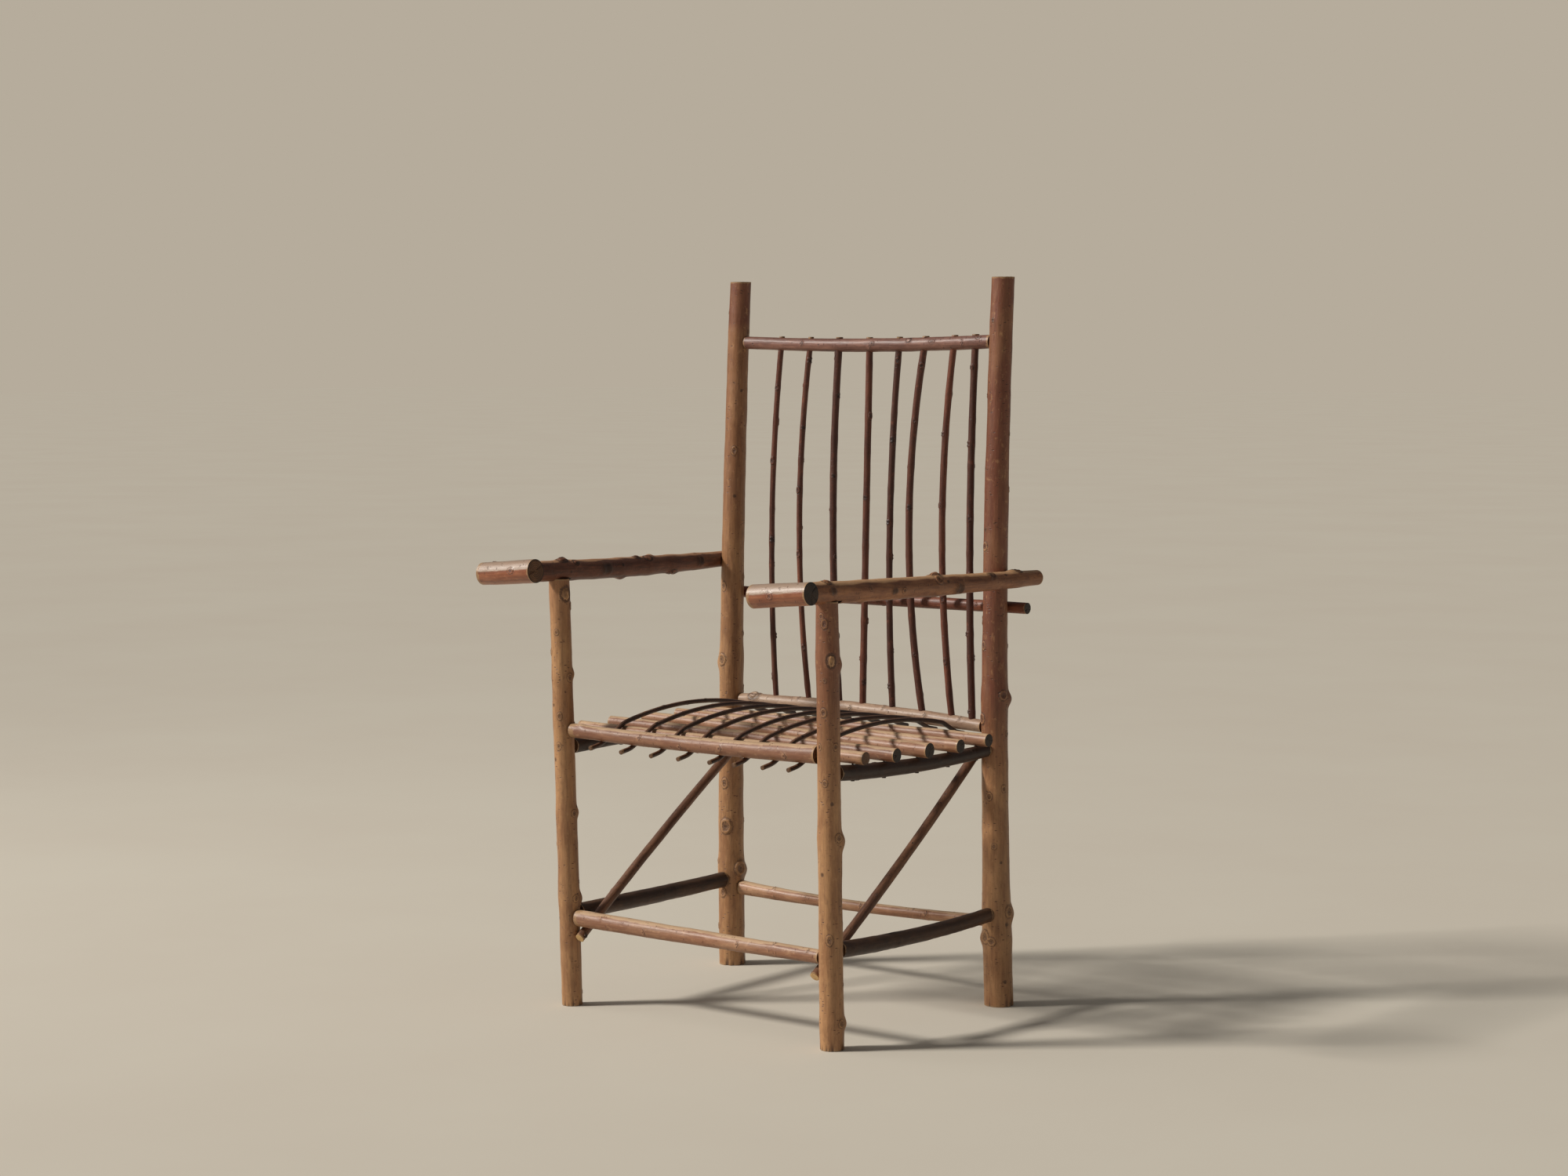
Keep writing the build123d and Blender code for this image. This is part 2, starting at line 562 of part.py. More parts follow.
def weave(front_x, rear_x):
    """The path of one rod, from its front cut end to its rear one."""
    front_rail, back_rail = sticks["front_seat_rail"], sticks["back_seat_rail"]
    crossed = (front_rail, seat_logs[0], seat_logs[-1], back_rail)
    front_point, back_point = front_rail.place("x", front_x)[0], back_rail.place("x", rear_x)[0]
    run = Vector(rear_x - front_x, back_point.Y - front_point.Y, 0)
    along = run.normalized()
    centres, reaches = [], []
    for stick in crossed:
        x = front_x
        for _ in range(3):
            point, stick_radius = stick.place("x", x)
            x = front_x + run.X * (point.Y - front_point.Y) / run.Y
        centres.append(((point.Y - front_point.Y) / along.Y, point.Z))
        reaches.append(stick_radius + seat_twig_diameter / 2 + rest_gap)
    reaches[2] += twig_last_log_lift
    slopes = [radians(twig_front_rail_slope), radians(twig_first_log_slope),
              radians(-twig_last_log_slope), radians(-twig_back_rail_slope)]
    kinds = (under, over, over, under)
    touches = [kind(*each) for kind, *each in zip(kinds, centres, reaches, slopes)]
    front_bend = fitting_bend(seat_twig_front_bend, *touches[:2], *slopes[:2], 1)
    rear_bend = fitting_bend(seat_twig_rear_bend, *touches[2:], *slopes[2:], -1)
    sizes = (front_bend, front_bend, rear_bend, rear_bend)
    bends = [bend_centre(*each) for each in zip(centres, reaches, sizes, slopes, kinds)]
    arch = arch_centre(
        bends[1], bends[2], seat_crown_radius - front_bend, seat_crown_radius - rear_bend)
    rise = crossing_slope(bends[0], bends[1], front_bend, front_bend, 1)
    fall = crossing_slope(bends[2], bends[3], rear_bend, rear_bend, -1)
    leave = atan2(arch[0] - bends[1][0], bends[1][1] - arch[1])
    meet = atan2(arch[0] - bends[2][0], bends[2][1] - arch[1])
    enter, leave_end = radians(twig_front_end_slope), radians(-twig_rear_end_slope)

    def place(point):
        return Vector(front_x, front_point.Y, 0) + along * point[0] + UP * point[1]

    def bent(kind, centre, reach, from_slope, to_slope):
        half_slope = (from_slope + to_slope) / 2
        points = [kind(centre, reach, a) for a in (from_slope, half_slope, to_slope)]
        return ThreePointArc(*[place(p) for p in points])

    first = under(bends[0], front_bend, enter)
    front_run = (first[0] - centres[0][0] + seat_twig_front_poke) / cos(enter)
    front_end = (first[0] - front_run * cos(enter), first[1] - front_run * sin(enter))
    last = under(bends[3], rear_bend, leave_end)
    rear_run = (centres[3][0] + seat_twig_rear_poke - last[0]) / cos(leave_end)
    rear_end = (last[0] + rear_run * cos(leave_end), last[1] + rear_run * sin(leave_end))
    return Wire([
        Line(place(front_end), place(first)),
        bent(under, bends[0], front_bend, enter, rise),
        Line(place(under(bends[0], front_bend, rise)), place(over(bends[1], front_bend, rise))),
        bent(over, bends[1], front_bend, rise, leave),
        bent(over, arch, seat_crown_radius, leave, meet),
        bent(over, bends[2], rear_bend, meet, fall),
        Line(place(over(bends[2], rear_bend, fall)), place(under(bends[3], rear_bend, fall))),
        bent(under, bends[3], rear_bend, fall, leave_end),
        Line(place(last), place(rear_end)),
    ])


for i in range(seat_twig_count):
    half_seat = front_spacing / 2
    path = weave(seat_twig_front_places[i] * half_seat, seat_twig_rear_places[i] * half_seat)
    section = Plane(path @ 0, z_dir=path % 0) * Circle(seat_twig_diameter / 2)
    pieces[f"seat_twig_{i + 1}"] = sweep(section, path=path)

# ---- braces: along the inner sides of the legs and posts, nailed at both ends ----------------
braces = {}
brace_foot_height = {"left": brace_foot_height_left, "right": brace_foot_height_right}
brace_head_height = {
    "left": seat_height - brace_head_drop_left, "right": seat_height - brace_head_drop_right}
brace_bow = {"left": brace_bow_left, "right": brace_bow_right}
brace_marks = {}
for side in sides:
    s = mirror_x(side)
    marks = []
    for upright, height in (
            (front_legs[side], brace_foot_height[side]), (back_posts[side], brace_head_height[side])):
        point, upright_radius = upright.place("z", height)
        inward = upright_radius + brace_diameter / 2 + rest_gap
        marks.append(point - RIGHT * s * inward)
    along = (marks[1] - marks[0]).normalized()
    start, end = marks[0] - along * brace_foot_poke, marks[1] + along * brace_head_poke
    middle = start + (end - start) * brace_bow_place + UP * brace_bow[side]
    braces[side] = Stick(start, middle, end, (brace_diameter,) * 3)
    name = f"brace_{side}"
    sticks[name] = braces[side]
    pieces[name] = braces[side].solid()
    brace_marks[side] = [braces[side].place("y", mark.Y) for mark in marks]


# ---- nails -----------------------------------------------------------------------------------
def nail(head_point, direction, length, fit=0.0):
    """A wire nail: a flat head at head_point and a shank going in along the direction."""
    top = head_point - direction * nail_head_thickness
    head = rod(top, direction, nail_head_thickness + fit, nail_head_diameter + 2 * fit)
    return head + rod(head_point, direction, length + 2 * fit, nail_diameter + 2 * fit)


def drive(node, head_point, direction, length, through):
    """Adds a nail to a group and bores its hole in each stick that it holds."""
    pieces.setdefault(node, []).append(nail(head_point, direction, length))
    for host_name in through:
        hollow(host_name, nail(head_point, direction, length, nail_fit))


for side in sides:
    s = mirror_x(side)
    for (point, radius_here), upright in zip(brace_marks[side], (f"front_leg_{side}", f"back_post_{side}")):
        head_point = point - RIGHT * s * (radius_here - nail_head_thickness + nail_head_proud)
        drive("brace_nails", head_point, RIGHT * s, brace_nail_length, (f"brace_{side}", upright))
    post_point, _ = back_posts[side].place("z", mid_rail_height)
    rail_point, rail_radius = mid_rail.place("x", post_point.X)
    head_point = rail_point + BACK * (rail_radius - nail_head_thickness + nail_head_proud)
    drive("mid_rail_nails", head_point, FRONT, mid_rail_nail_length,
          ("mid_back_rail", f"back_post_{side}"))
    for i, log in enumerate(seat_logs):
        carrier = sticks[f"side_seat_rail_{side}"]
        log_point = log.place("x", carrier.at(0.5).X)[0]
        rail_point, rail_radius = carrier.place("y", log_point.Y)
        head_point = rail_point - UP * (rail_radius - nail_head_thickness + nail_head_proud)
        drive("seat_log_nails", head_point, UP, seat_nail_length,
              (f"side_seat_rail_{side}", f"seat_log_{i + 1}"))

# ---- hand grips and arms ---------------------------------------------------------------------
grip_length = {"left": grip_length_left, "right": grip_length_right}
grip_diameters = {"left": grip_diameters_left, "right": grip_diameters_right}
for side in sides:
    s = mirror_x(side)
    arm = arms[side]
    centre = arm.start
    across = Vector(cos(radians(grip_tilt)), 0, sin(radians(grip_tilt)))
    half = across * (grip_length[side] / 2)
    grip = Stick(centre - half, centre, centre + half, grip_diameters[side])
    sticks[f"hand_grip_{side}"] = grip
    pieces[f"hand_grip_{side}"] = grip.solid(bevels=(grip_bevel, grip_bevel))
    grip_radius = grip.radius(0.5)

    # the arm starts inside the grip and is coped to its back, with a tenon into it
    body = arm.solid(bevels=(0.0, cut_end_bevel))
    body -= rod(centre - half * 2, across, 2 * grip_length[side], 2 * (grip_radius + rest_gap))
    tenon_start = centre + BACK * (grip_radius + arm_tenon_root)
    tenon_length = arm_tenon_root + 2 * grip_radius - grip_front_wood
    body += rod(tenon_start, FRONT, tenon_length, tenon_diameter)
    socket_length = tenon_length + glue_space
    hollow(f"hand_grip_{side}", rod(tenon_start, FRONT, socket_length, tenon_diameter + 2 * tenon_fit))
    pieces[f"arm_{side}"] = body

    # the flat under the arm, and the leg's tenon into it
    leg = front_legs[side]
    leg_radius = leg.radius(1)
    arm_thickness = arm_diameters[side][0]
    flat = Box(2 * arm_thickness, 2 * (leg_radius + arm_flat_margin), arm_thickness,
               align=(Align.CENTER, Align.CENTER, Align.MAX))
    hollow(f"arm_{side}", Pos(leg.end.X, leg.end.Y, leg.end.Z + shoulder_gap) * flat)
    leg_socket = leg_tenon_diameter + 2 * tenon_fit
    hollow(f"arm_{side}", rod(leg.end, UP, leg_tenon_length + glue_space, leg_socket))

    # the hollow that fits round the back post, and the dowel that pins it there
    post = back_posts[side]
    low, low_radius = post.place("z", arm_height[side] - arm_thickness)
    high, high_radius = post.place("z", arm_height[side] + arm_thickness)
    hollow(f"arm_{side}", barrel(UP, [
        (low, low_radius + rest_gap), (high, high_radius + rest_gap)]))
    arm_z = arm.place("y", post.place("z", arm_height[side])[0].Y)[0].Z
    post_point, post_radius = post.place("z", arm_z)
    outward = RIGHT * s
    dowel_start = post_point + outward * (post_radius - arm_dowel_in_post)
    bore_length = arm_dowel_length + 2 * glue_space
    bore_diameter = arm_dowel_diameter + 2 * tenon_fit
    bore = rod(dowel_start - outward * glue_space, outward, bore_length, bore_diameter)
    for host_name in (f"arm_{side}", f"back_post_{side}"):
        hollow(host_name, bore)
    dowel = rod(dowel_start, outward, arm_dowel_length, arm_dowel_diameter)
    pieces.setdefault("arm_dowels", []).append(dowel)

# ---- uprights --------------------------------------------------------------------------------
for side in sides:
    leg = front_legs[side]
    leg_tenon = rod(
        leg.end - UP * tenon_root, UP, leg_tenon_length + tenon_root, leg_tenon_diameter)
    pieces[f"front_leg_{side}"] = leg.solid() + leg_tenon
    post = back_posts[side]
    pieces[f"back_post_{side}"] = post.solid(bevels=(0.0, cut_end_bevel))

# ---- bore the sockets and write the parts ----------------------------------------------------
os.makedirs("parts", exist_ok=True)
for name, piece in pieces.items():
    if isinstance(piece, list):
        shape = Compound(children=piece)
    else:
        tools = hollows.get(name, [])
        shape = piece.cut(*tools) if tools else piece
    export_step(shape, f"parts/{name}.step")
print(len(pieces), "nodes")
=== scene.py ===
# %% [markdown]
# # A twig armchair
#
# The chair is made of round sticks with the bark left on. Each stick is whittled to a round
# tenon at its ends and driven into a bored socket, and a seat of springy rods is woven over
# and under the rails. This lesson dresses the bare solids of the chair in bark: it reads the
# line of every stick from its solid, grows a bark skin round that line, adds knots and sawn
# ends, and gives each kind of wood its own finish.

# %% Load the frame
import math

import bmesh
import bpy
import numpy as np
from mathutils import Matrix, Vector
from mathutils.bvhtree import BVHTree


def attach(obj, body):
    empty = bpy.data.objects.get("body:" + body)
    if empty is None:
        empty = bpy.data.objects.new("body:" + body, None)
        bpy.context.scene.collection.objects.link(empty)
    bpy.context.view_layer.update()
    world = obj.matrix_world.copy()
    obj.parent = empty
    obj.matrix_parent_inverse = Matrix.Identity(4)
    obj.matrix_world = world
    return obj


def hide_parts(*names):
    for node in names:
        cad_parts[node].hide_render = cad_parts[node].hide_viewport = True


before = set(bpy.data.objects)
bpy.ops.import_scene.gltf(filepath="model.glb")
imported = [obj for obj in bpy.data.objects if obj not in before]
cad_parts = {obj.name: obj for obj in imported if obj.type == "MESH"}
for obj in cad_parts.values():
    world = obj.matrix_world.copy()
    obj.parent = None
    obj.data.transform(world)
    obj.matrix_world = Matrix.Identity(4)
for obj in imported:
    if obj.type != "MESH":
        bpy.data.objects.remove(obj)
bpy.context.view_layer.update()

MM = 0.001
FULL_TURN = 2 * math.pi

# %% [markdown]
# ## Which stick is which
#
# Every stick belongs to a kind, and the kind settles how thick its skin is drawn, which way
# its cross-sections lie and which wood it is made of. The two arms are cut to shape later,
# so their cross-sections all face the rear. The uprights' cross-sections are level, so that
# their sawn feet stay flat on the floor. Every other stick is cut square to its own line.

# %% Kinds of stick
UP, BACK = Vector((0, 0, 1)), Vector((0, 1, 0))
SIDES = ("left", "right")
kinds = {}


def kind(names, wood, segments, square_to=None, springy=False):
    for name in names:
        kinds[name] = {"wood": wood, "segments": segments, "square_to": square_to, "springy": springy}


kind([f"back_post_{s}" for s in SIDES], "tan_bark", 72, UP)
kind([f"front_leg_{s}" for s in SIDES], "tan_bark", 68, UP)
kind([f"arm_{s}" for s in SIDES], "brown_bark", 64, BACK)
kind([f"hand_grip_{s}" for s in SIDES], "red_bark", 68)
kind(["front_seat_rail", "back_seat_rail"], "pale_bark", 52)
kind([f"seat_log_{i}" for i in range(1, 6)], "pale_bark", 44)
kind(["top_rail", "mid_back_rail"], "brown_bark", 44)
kind(["lower_front_stretcher", "lower_back_stretcher"], "pale_bark", 48)
kind([f"lower_side_stretcher_{s}" for s in SIDES], "brown_bark", 48)
kind([f"side_seat_rail_{s}" for s in SIDES], "dark_bark", 44)
kind([f"brace_{s}" for s in SIDES], "brown_bark", 36)
kind([f"spindle_{i}" for i in range(1, 9)], "brown_bark", 26)
kind([f"seat_twig_{i}" for i in range(1, 9)], "dark_bark", 22, springy=True)
print(len(kinds), "sticks")

# %% [markdown]
# ## Reading a stick's line from its solid
#
# The solids have bores, knots and flats, so the middle of a stick can't be found by averaging
# its corners. Instead rays are shot at the stick from all round, at many places along it. A
# circle is fitted to the points that they hit, and points that lie far off that circle are
# dropped, since they belong to a knot or fell into a bore. A real stick bends gently, so one
# low curve through all the circles gives a clean line. The springy seat rods bend more than
# that, and keep their own circles.

# %% Measure a circle at one place
RAYS = 20
REACH = 70 * MM  # the rays start this far from the middle


def side_directions(along):
    """Two directions square to the stick: one as nearly up as can be, and one beside it."""
    reference = UP if abs(along.dot(UP)) < 0.9 else Vector((1, 0, 0))
    first = (reference - along * along.dot(reference)).normalized()
    return first, along.cross(first)


def circle_at(tree, middle, along):
    """The middle and radius of the stick near a place, or None if the rays miss it."""
    first, second = side_directions(along)
    points = []
    for i in range(RAYS):
        angle = FULL_TURN * i / RAYS
        out = first * math.cos(angle) + second * math.sin(angle)
        hit = tree.ray_cast(middle + out * REACH, -out, REACH)[0]
        if hit is not None:
            points.append(((hit - middle).dot(first), (hit - middle).dot(second)))
    points = np.array(points)
    kept = np.ones(len(points), bool)
    for _ in range(4):
        if kept.sum() < 6:
            return None
        x, y = points[kept].T
        fit = np.linalg.lstsq(np.c_[2 * x, 2 * y, np.ones(len(x))], x * x + y * y, rcond=None)[0]
        radius = math.sqrt(max(fit[2] + fit[0] ** 2 + fit[1] ** 2, 1e-9))
        error = np.abs(np.hypot(points[:, 0] - fit[0], points[:, 1] - fit[1]) - radius)
        kept = error < max(0.15 * MM, 1.5 * np.median(error))
    return middle + first * fit[0] + second * fit[1], radius


print(RAYS, "rays find each circle")

# %% Walk along a stick
def corners_of(name):
    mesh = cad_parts[name].data
    points = np.empty(len(mesh.vertices) * 3)
    mesh.vertices.foreach_get("co", points)
    return points.reshape(-1, 3)


def end_middles(points, along):
    """The middles of the two flat ends."""
    place = points @ along
    low, high = place.min(), place.max()
    return [
        Vector((points[rim].min(0) + points[rim].max(0)) / 2)
        for rim in (place < low + 0.3 * MM, place > high - 0.3 * MM)]


def walk(name, step=4 * MM):
    """Circles along a stick: their places along it, middles and radii, and its direction."""
    info = kinds[name]
    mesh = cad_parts[name].data
    points = corners_of(name)
    spread = np.linalg.svd(points - points.mean(0), full_matrices=False)[2][0]
    along = info["square_to"] or Vector(spread).normalized()
    if along.dot(Vector((1, 1, 1))) < 0:
        along = -along
    if not info["square_to"]:
        first, last = end_middles(points, np.array(along))
        along = (last - first).normalized()
    tree = BVHTree.FromPolygons(
        [v.co for v in mesh.vertices], [p.vertices[:] for p in mesh.polygons])
    place = points @ np.array(along)
    low, high = place.min(), place.max()
    margin = (3.0 if info["springy"] else 0.25) * MM
    count = max(8, round((high - low - 2 * margin) / step))
    places = np.linspace(low + margin, high - margin, count + 1)
    near = np.abs(place - places[0]) < 4 * MM
    middle = Vector((points[near].min(0) + points[near].max(0)) / 2)
    found = []
    slope = along
    for s in places:
        middle = middle + slope * ((s - middle.dot(along)) / slope.dot(along))
        for _ in range(2):
            got = circle_at(tree, middle, slope)
            if got is None:
                break
            middle = got[0] + slope * ((s - got[0].dot(along)) / slope.dot(along))
        if got is None:
            continue
        found.append((s, *middle, got[1]))
        if info["springy"] and len(found) > 1:
            slope = (Vector(found[-1][1:4]) - Vector(found[-2][1:4])).normalized()
    return np.array(found), along, low, high


walked = {name: walk(name) for name in kinds}
print("walked along", len(walked), "sticks,", sum(len(w[0]) for w in walked.values()), "circles")

# %% [markdown]
# ## One clean line for each stick
#
# A rail's solid also holds the tenons at its ends. They show as a sudden drop in the radius,
# and the place of the drop is the square shoulder. The body between the shoulders is fitted
# with one low curve for its middle and one for its radius. The fit is repeated without the
# circles that lie far off it, which a knot or a bore has spoiled.

# %% Find the shoulders and fit the body
SHOULDER_DROP = 1.6 * MM
FIT_DEGREE, CROOKED_DEGREE = 3, 4  # of the curve through a plain stick and a crooked spindle
ARM_HOLLOW = 45 * MM  # the front of an arm is hollowed for its grip, so it isn't measured there


class Line:
    """A stick's own line: its middle and radius at any place along it."""

    def __init__(self, name):
        info = kinds[name]
        circles, self.along, self.low, self.high = walked[name]
        self.name, self.springy = name, info["springy"]
        radii = circles[:, 4]
        self.body = [self.low, self.high]
        self.tenon = [0.0, 0.0]
        if not (self.springy or name.startswith(("arm", "spindle"))):
            half = len(radii) // 2
            thick = np.median(radii)
            thin = np.flatnonzero(radii < thick - SHOULDER_DROP * max(1, thick / (9 * MM)))
            for side, inner in ((0, thin[thin < half]), (1, thin[thin >= half])):
                if len(inner) and inner[(0, -1)[side]] == (0, len(radii) - 1)[side]:
                    edge = self.run_of(inner, side)
                    self.body[side] = (circles[edge, 0] + circles[edge + (1, -1)[side], 0]) / 2
                    self.tenon[side] = float(np.median(radii[:edge + 1] if side == 0 else radii[edge:]))
        self.circles = circles
        if not self.springy:
            self.fit()

    def run_of(self, inner, side):
        """The last thin circle, counted from the stick's end inwards."""
        gap = np.flatnonzero(np.diff(inner) > 1)
        if side == 0:
            return inner[gap[0]] if len(gap) else inner[-1]
        return inner[gap[-1] + 1] if len(gap) else inner[0]

    def fit(self):
        place = self.circles[:, 0]
        inside = (place > self.body[0] + 3 * MM) & (place < self.body[1] - 3 * MM)
        if self.name.startswith("arm"):
            inside &= place > self.low + ARM_HOLLOW
        s, rest = self.circles[inside, 0], self.circles[inside, 1:]
        self.offset, self.scale = s.mean(), (s.max() - s.min()) / 2
        u = (s - self.offset) / self.scale
        kept = np.ones(len(u), bool)
        degree = CROOKED_DEGREE if self.name.startswith("spindle") else FIT_DEGREE
        for _ in range(5):
            self.terms = np.polynomial.polynomial.polyfit(u[kept], rest[kept], degree)
            error = np.abs(np.polynomial.polynomial.polyval(u, self.terms).T - rest).max(1)
            kept = error < max(0.12 * MM, 2.5 * np.median(error))

    def at(self, s):
        """Middles (n, 3) and radii (n) at the given places."""
        s = np.atleast_1d(s)
        if self.springy:
            columns = [np.interp(s, self.circles[:, 0], self.circles[:, k]) for k in (1, 2, 3, 4)]
            middles = np.stack(columns[:3], 1)
            for end, inner, beyond in ((0, 4, s < self.circles[0, 0]), (-1, -5, s > self.circles[-1, 0])):
                a, b = self.circles[end], self.circles[inner]
                slope = (b[1:4] - a[1:4]) / (b[0] - a[0])
                middles[beyond] = a[1:4] + (s[beyond] - a[0])[:, None] * slope
            return middles, columns[3]
        values = np.polynomial.polynomial.polyval((s - self.offset) / self.scale, self.terms).T
        return values[:, :3], values[:, 3]


lines = {name: Line(name) for name in kinds}
for name in ("back_post_left", "front_seat_rail", "spindle_6", "seat_twig_4"):
    line = lines[name]
    print(name, "body", [round(v, 4) for v in line.body], "tenons", [round(v, 4) for v in line.tenon])

# %% [markdown]
# ## Knots
#
# Where a side branch once grew, a stick carries a knot. Five forms are made here. A *ring* is
# a low collar round a sunken eye. A *scar* is a closed dark wound. A *chevron* is a folded
# ridge over a small eye, which smooth pale bark shows. A *swell* is a broad lump where a branch
# began. A *stub* is the short foot of a branch that was cut off, with steep sides and a flat
# sawn top. Each is given by a point on the bark in metres, its half width and its height in
# millimetres. Small bud scars are strewn over the rest of the bark afterwards, one every few
# centimetres and on alternate sides, as buds grow.

# %% Where the knots are
knots = {
    "back_post_left": [
        ("swell", (-0.2774, 0.2270, 0.4930), 12, 4.5), ("ring", (-0.2625, 0.2115, 0.4993), 8, 1.3),
        ("ring", (-0.2605, 0.2138, 0.6170), 5, 0.8), ("ring", (-0.2573, 0.2098, 0.2988), 6, 1.0),
        ("ring", (-0.2554, 0.2105, 0.2290), 10, 2.2), ("ring", (-0.2409, 0.2288, 0.1600), 10, 3.2),
        ("swell", (-0.2468, 0.2465, 0.1548), 11, 4.0), ("ring", (-0.2628, 0.2112, 0.1203), 6, 1.4)],
    "back_post_right": [
        ("swell", (0.2743, 0.2425, 0.4687), 13, 5.0), ("ring", (0.2784, 0.2246, 0.4759), 7, 1.5),
        ("ring", (0.2479, 0.2128, 0.4392), 7, 1.6), ("swell", (0.2798, 0.2445, 0.1415), 12, 4.0),
        ("ring", (0.2858, 0.2320, 0.1460), 7, 1.6), ("swell", (0.2441, 0.2200, 0.1028), 10, 3.0),
        ("ring", (0.2556, 0.2111, 0.1071), 7, 1.4), ("ring", (0.2665, 0.2135, 0.1010), 6, 1.5),
        ("ring", (0.2629, 0.2092, 0.3226), 5, 0.9),
        ("ring", (0.2708, 0.2116, 0.2466), 4, 0.7), ("ring", (0.2502, 0.2210, 0.7000), 6, 1.0),
        ("ring", (0.2499, 0.2150, 0.5500), 5, 0.8)],
    "front_leg_left": [
        ("swell", (-0.2392, -0.1571, 0.1644), 9, 3.4), ("ring", (-0.2353, -0.1695, 0.1662), 5, 1.0),
        ("swell", (-0.2402, -0.1604, 0.2968), 8, 2.4), ("ring", (-0.2357, -0.1711, 0.2965), 5, 1.0),
        ("swell", (-0.2419, -0.1658, 0.5088), 8, 2.4), ("ring", (-0.2382, -0.1764, 0.5041), 5, 1.0),
        ("stub", (-0.2399, -0.1818, 0.6305), 8, 3.0), ("ring", (-0.2502, -0.1928, 0.5727), 4, 0.7),
        ("ring", (-0.2480, -0.1893, 0.4453), 4, 0.9), ("ring", (-0.2506, -0.1891, 0.3995), 4, 0.7)],
    "front_leg_right": [
        ("swell", (0.2671, -0.1599, 0.3007), 10, 4.0), ("ring", (0.2708, -0.1722, 0.3075), 6, 1.2),
        ("swell", (0.2686, -0.1667, 0.5525), 9, 3.0), ("stub", (0.2690, -0.1872, 0.5599), 6, 2.4),
        ("swell", (0.2654, -0.1528, 0.0385), 9, 2.6), ("ring", (0.2705, -0.1652, 0.0399), 5, 1.2),
        ("ring", (0.2621, -0.1943, 0.6124), 5, 0.9), ("ring", (0.2587, -0.1921, 0.4864), 5, 0.9),
        ("ring", (0.2709, -0.1791, 0.4377), 4, 1.0), ("ring", (0.2592, -0.1895, 0.3855), 4, 0.8),
        ("ring", (0.2616, -0.1823, 0.1610), 5, 0.8)],
    "arm_left": [
        ("swell", (-0.2583, -0.1708, 0.6805), 8, 2.4), ("stub", (-0.2539, -0.1755, 0.6813), 6, 2.6),
        ("stub", (-0.2460, -0.1500, 0.6790), 5, 2.2), ("swell", (-0.2619, -0.0351, 0.6459), 8, 3.0),
        ("scar", (-0.2444, -0.0828, 0.6635), 9, 1.4), ("swell", (-0.2658, 0.0383, 0.6756), 9, 2.6),
        ("stub", (-0.2567, 0.0243, 0.6735), 6, 2.8), ("stub", (-0.2600, 0.0011, 0.6763), 5, 2.4),
        ("swell", (-0.2702, 0.1003, 0.6453), 8, 2.4), ("stub", (-0.2605, 0.0885, 0.6482), 5, 2.4),
        ("scar", (-0.2614, 0.1585, 0.6617), 8, 1.8)],
    "arm_right": [
        ("scar", (0.2742, -0.1882, 0.6589), 6, 1.4), ("scar", (0.2772, -0.0469, 0.6503), 5, 1.4),
        ("ring", (0.2789, 0.0575, 0.6604), 7, 2.0), ("scar", (0.2835, 0.1032, 0.6436), 9, 3.0),
        ("scar", (0.2867, 0.1811, 0.6606), 7, 2.0), ("swell", (0.2590, -0.1097, 0.6371), 8, 2.4),
        ("swell", (0.2673, 0.0670, 0.6663), 9, 2.4), ("stub", (0.2673, 0.0600, 0.6670), 6, 2.6),
        ("stub", (0.2640, -0.1900, 0.6730), 6, 2.4), ("swell", (0.2833, 0.2376, 0.6635), 8, 2.2),
        ("stub", (0.2865, 0.2483, 0.6632), 6, 2.0)],
    "hand_grip_left": [("ring", (-0.2410, -0.3019, 0.6726), 5, 0.7)],
    "hand_grip_right": [("ring", (0.2492, -0.3010, 0.6572), 5, 0.7)],
    "back_seat_rail": [
        ("stub", (-0.2060, 0.2230, 0.4470), 8, 3.6), ("chevron", (-0.1163, 0.2241, 0.4458), 4, 0.9),
        ("chevron", (-0.0104, 0.2188, 0.4374), 4, 0.9), ("chevron", (0.0519, 0.2226, 0.4426), 4, 1.0),
        ("chevron", (0.1325, 0.2203, 0.4362), 4, 1.0), ("chevron", (0.1969, 0.2241, 0.4368), 4, 1.0)],
    "front_seat_rail": [
        ("chevron", (0.0625, -0.1859, 0.4196), 4, 0.8), ("chevron", (0.1832, -0.1864, 0.4181), 4, 0.7),
        ("chevron", (-0.0940, -0.1850, 0.4240), 4, 0.8), ("swell", (-0.2150, -0.1780, 0.4350), 8, 1.4),
        ("chevron", (-0.0150, -0.1850, 0.4160), 4, 0.7)],
    "lower_front_stretcher": [
        ("chevron", (0.0864, -0.1779, 0.1341), 4, 0.9), ("chevron", (0.1508, -0.1707, 0.1429), 4, 0.9),
        ("chevron", (-0.0934, -0.1784, 0.1308), 4, 0.8), ("chevron", (0.2147, -0.1733, 0.1406), 3, 0.7)],
    "lower_back_stretcher": [
        ("chevron", (-0.1709, 0.2288, 0.1353), 4, 1.0), ("chevron", (0.0057, 0.2240, 0.1260), 4, 0.8),
        ("chevron", (0.1328, 0.2243, 0.1277), 4, 0.9)],
    "top_rail": [
        ("chevron", (-0.1200, 0.2380, 1.0060), 4, 1.0), ("chevron", (0.0150, 0.2375, 1.0010), 4, 1.0),
        ("stub", (0.0900, 0.2400, 1.0110), 4, 1.4), ("chevron", (0.1900, 0.2380, 1.0060), 4, 0.9)],
}
print(sum(len(k) for k in knots.values()), "knots on", len(knots), "sticks")

# %% Bud scars
SCAR_GAP = {"tan_bark": 0.050, "red_bark": 0.050, "brown_bark": 0.055,
            "dark_bark": 0.060, "pale_bark": 0.045}  # metres, about, from one scar to the next
SCAR_SEED, SKIN_SEED = 700, 100  # each stick adds its own number
SCAR_END = 0.012  # no scar this near a stick's end


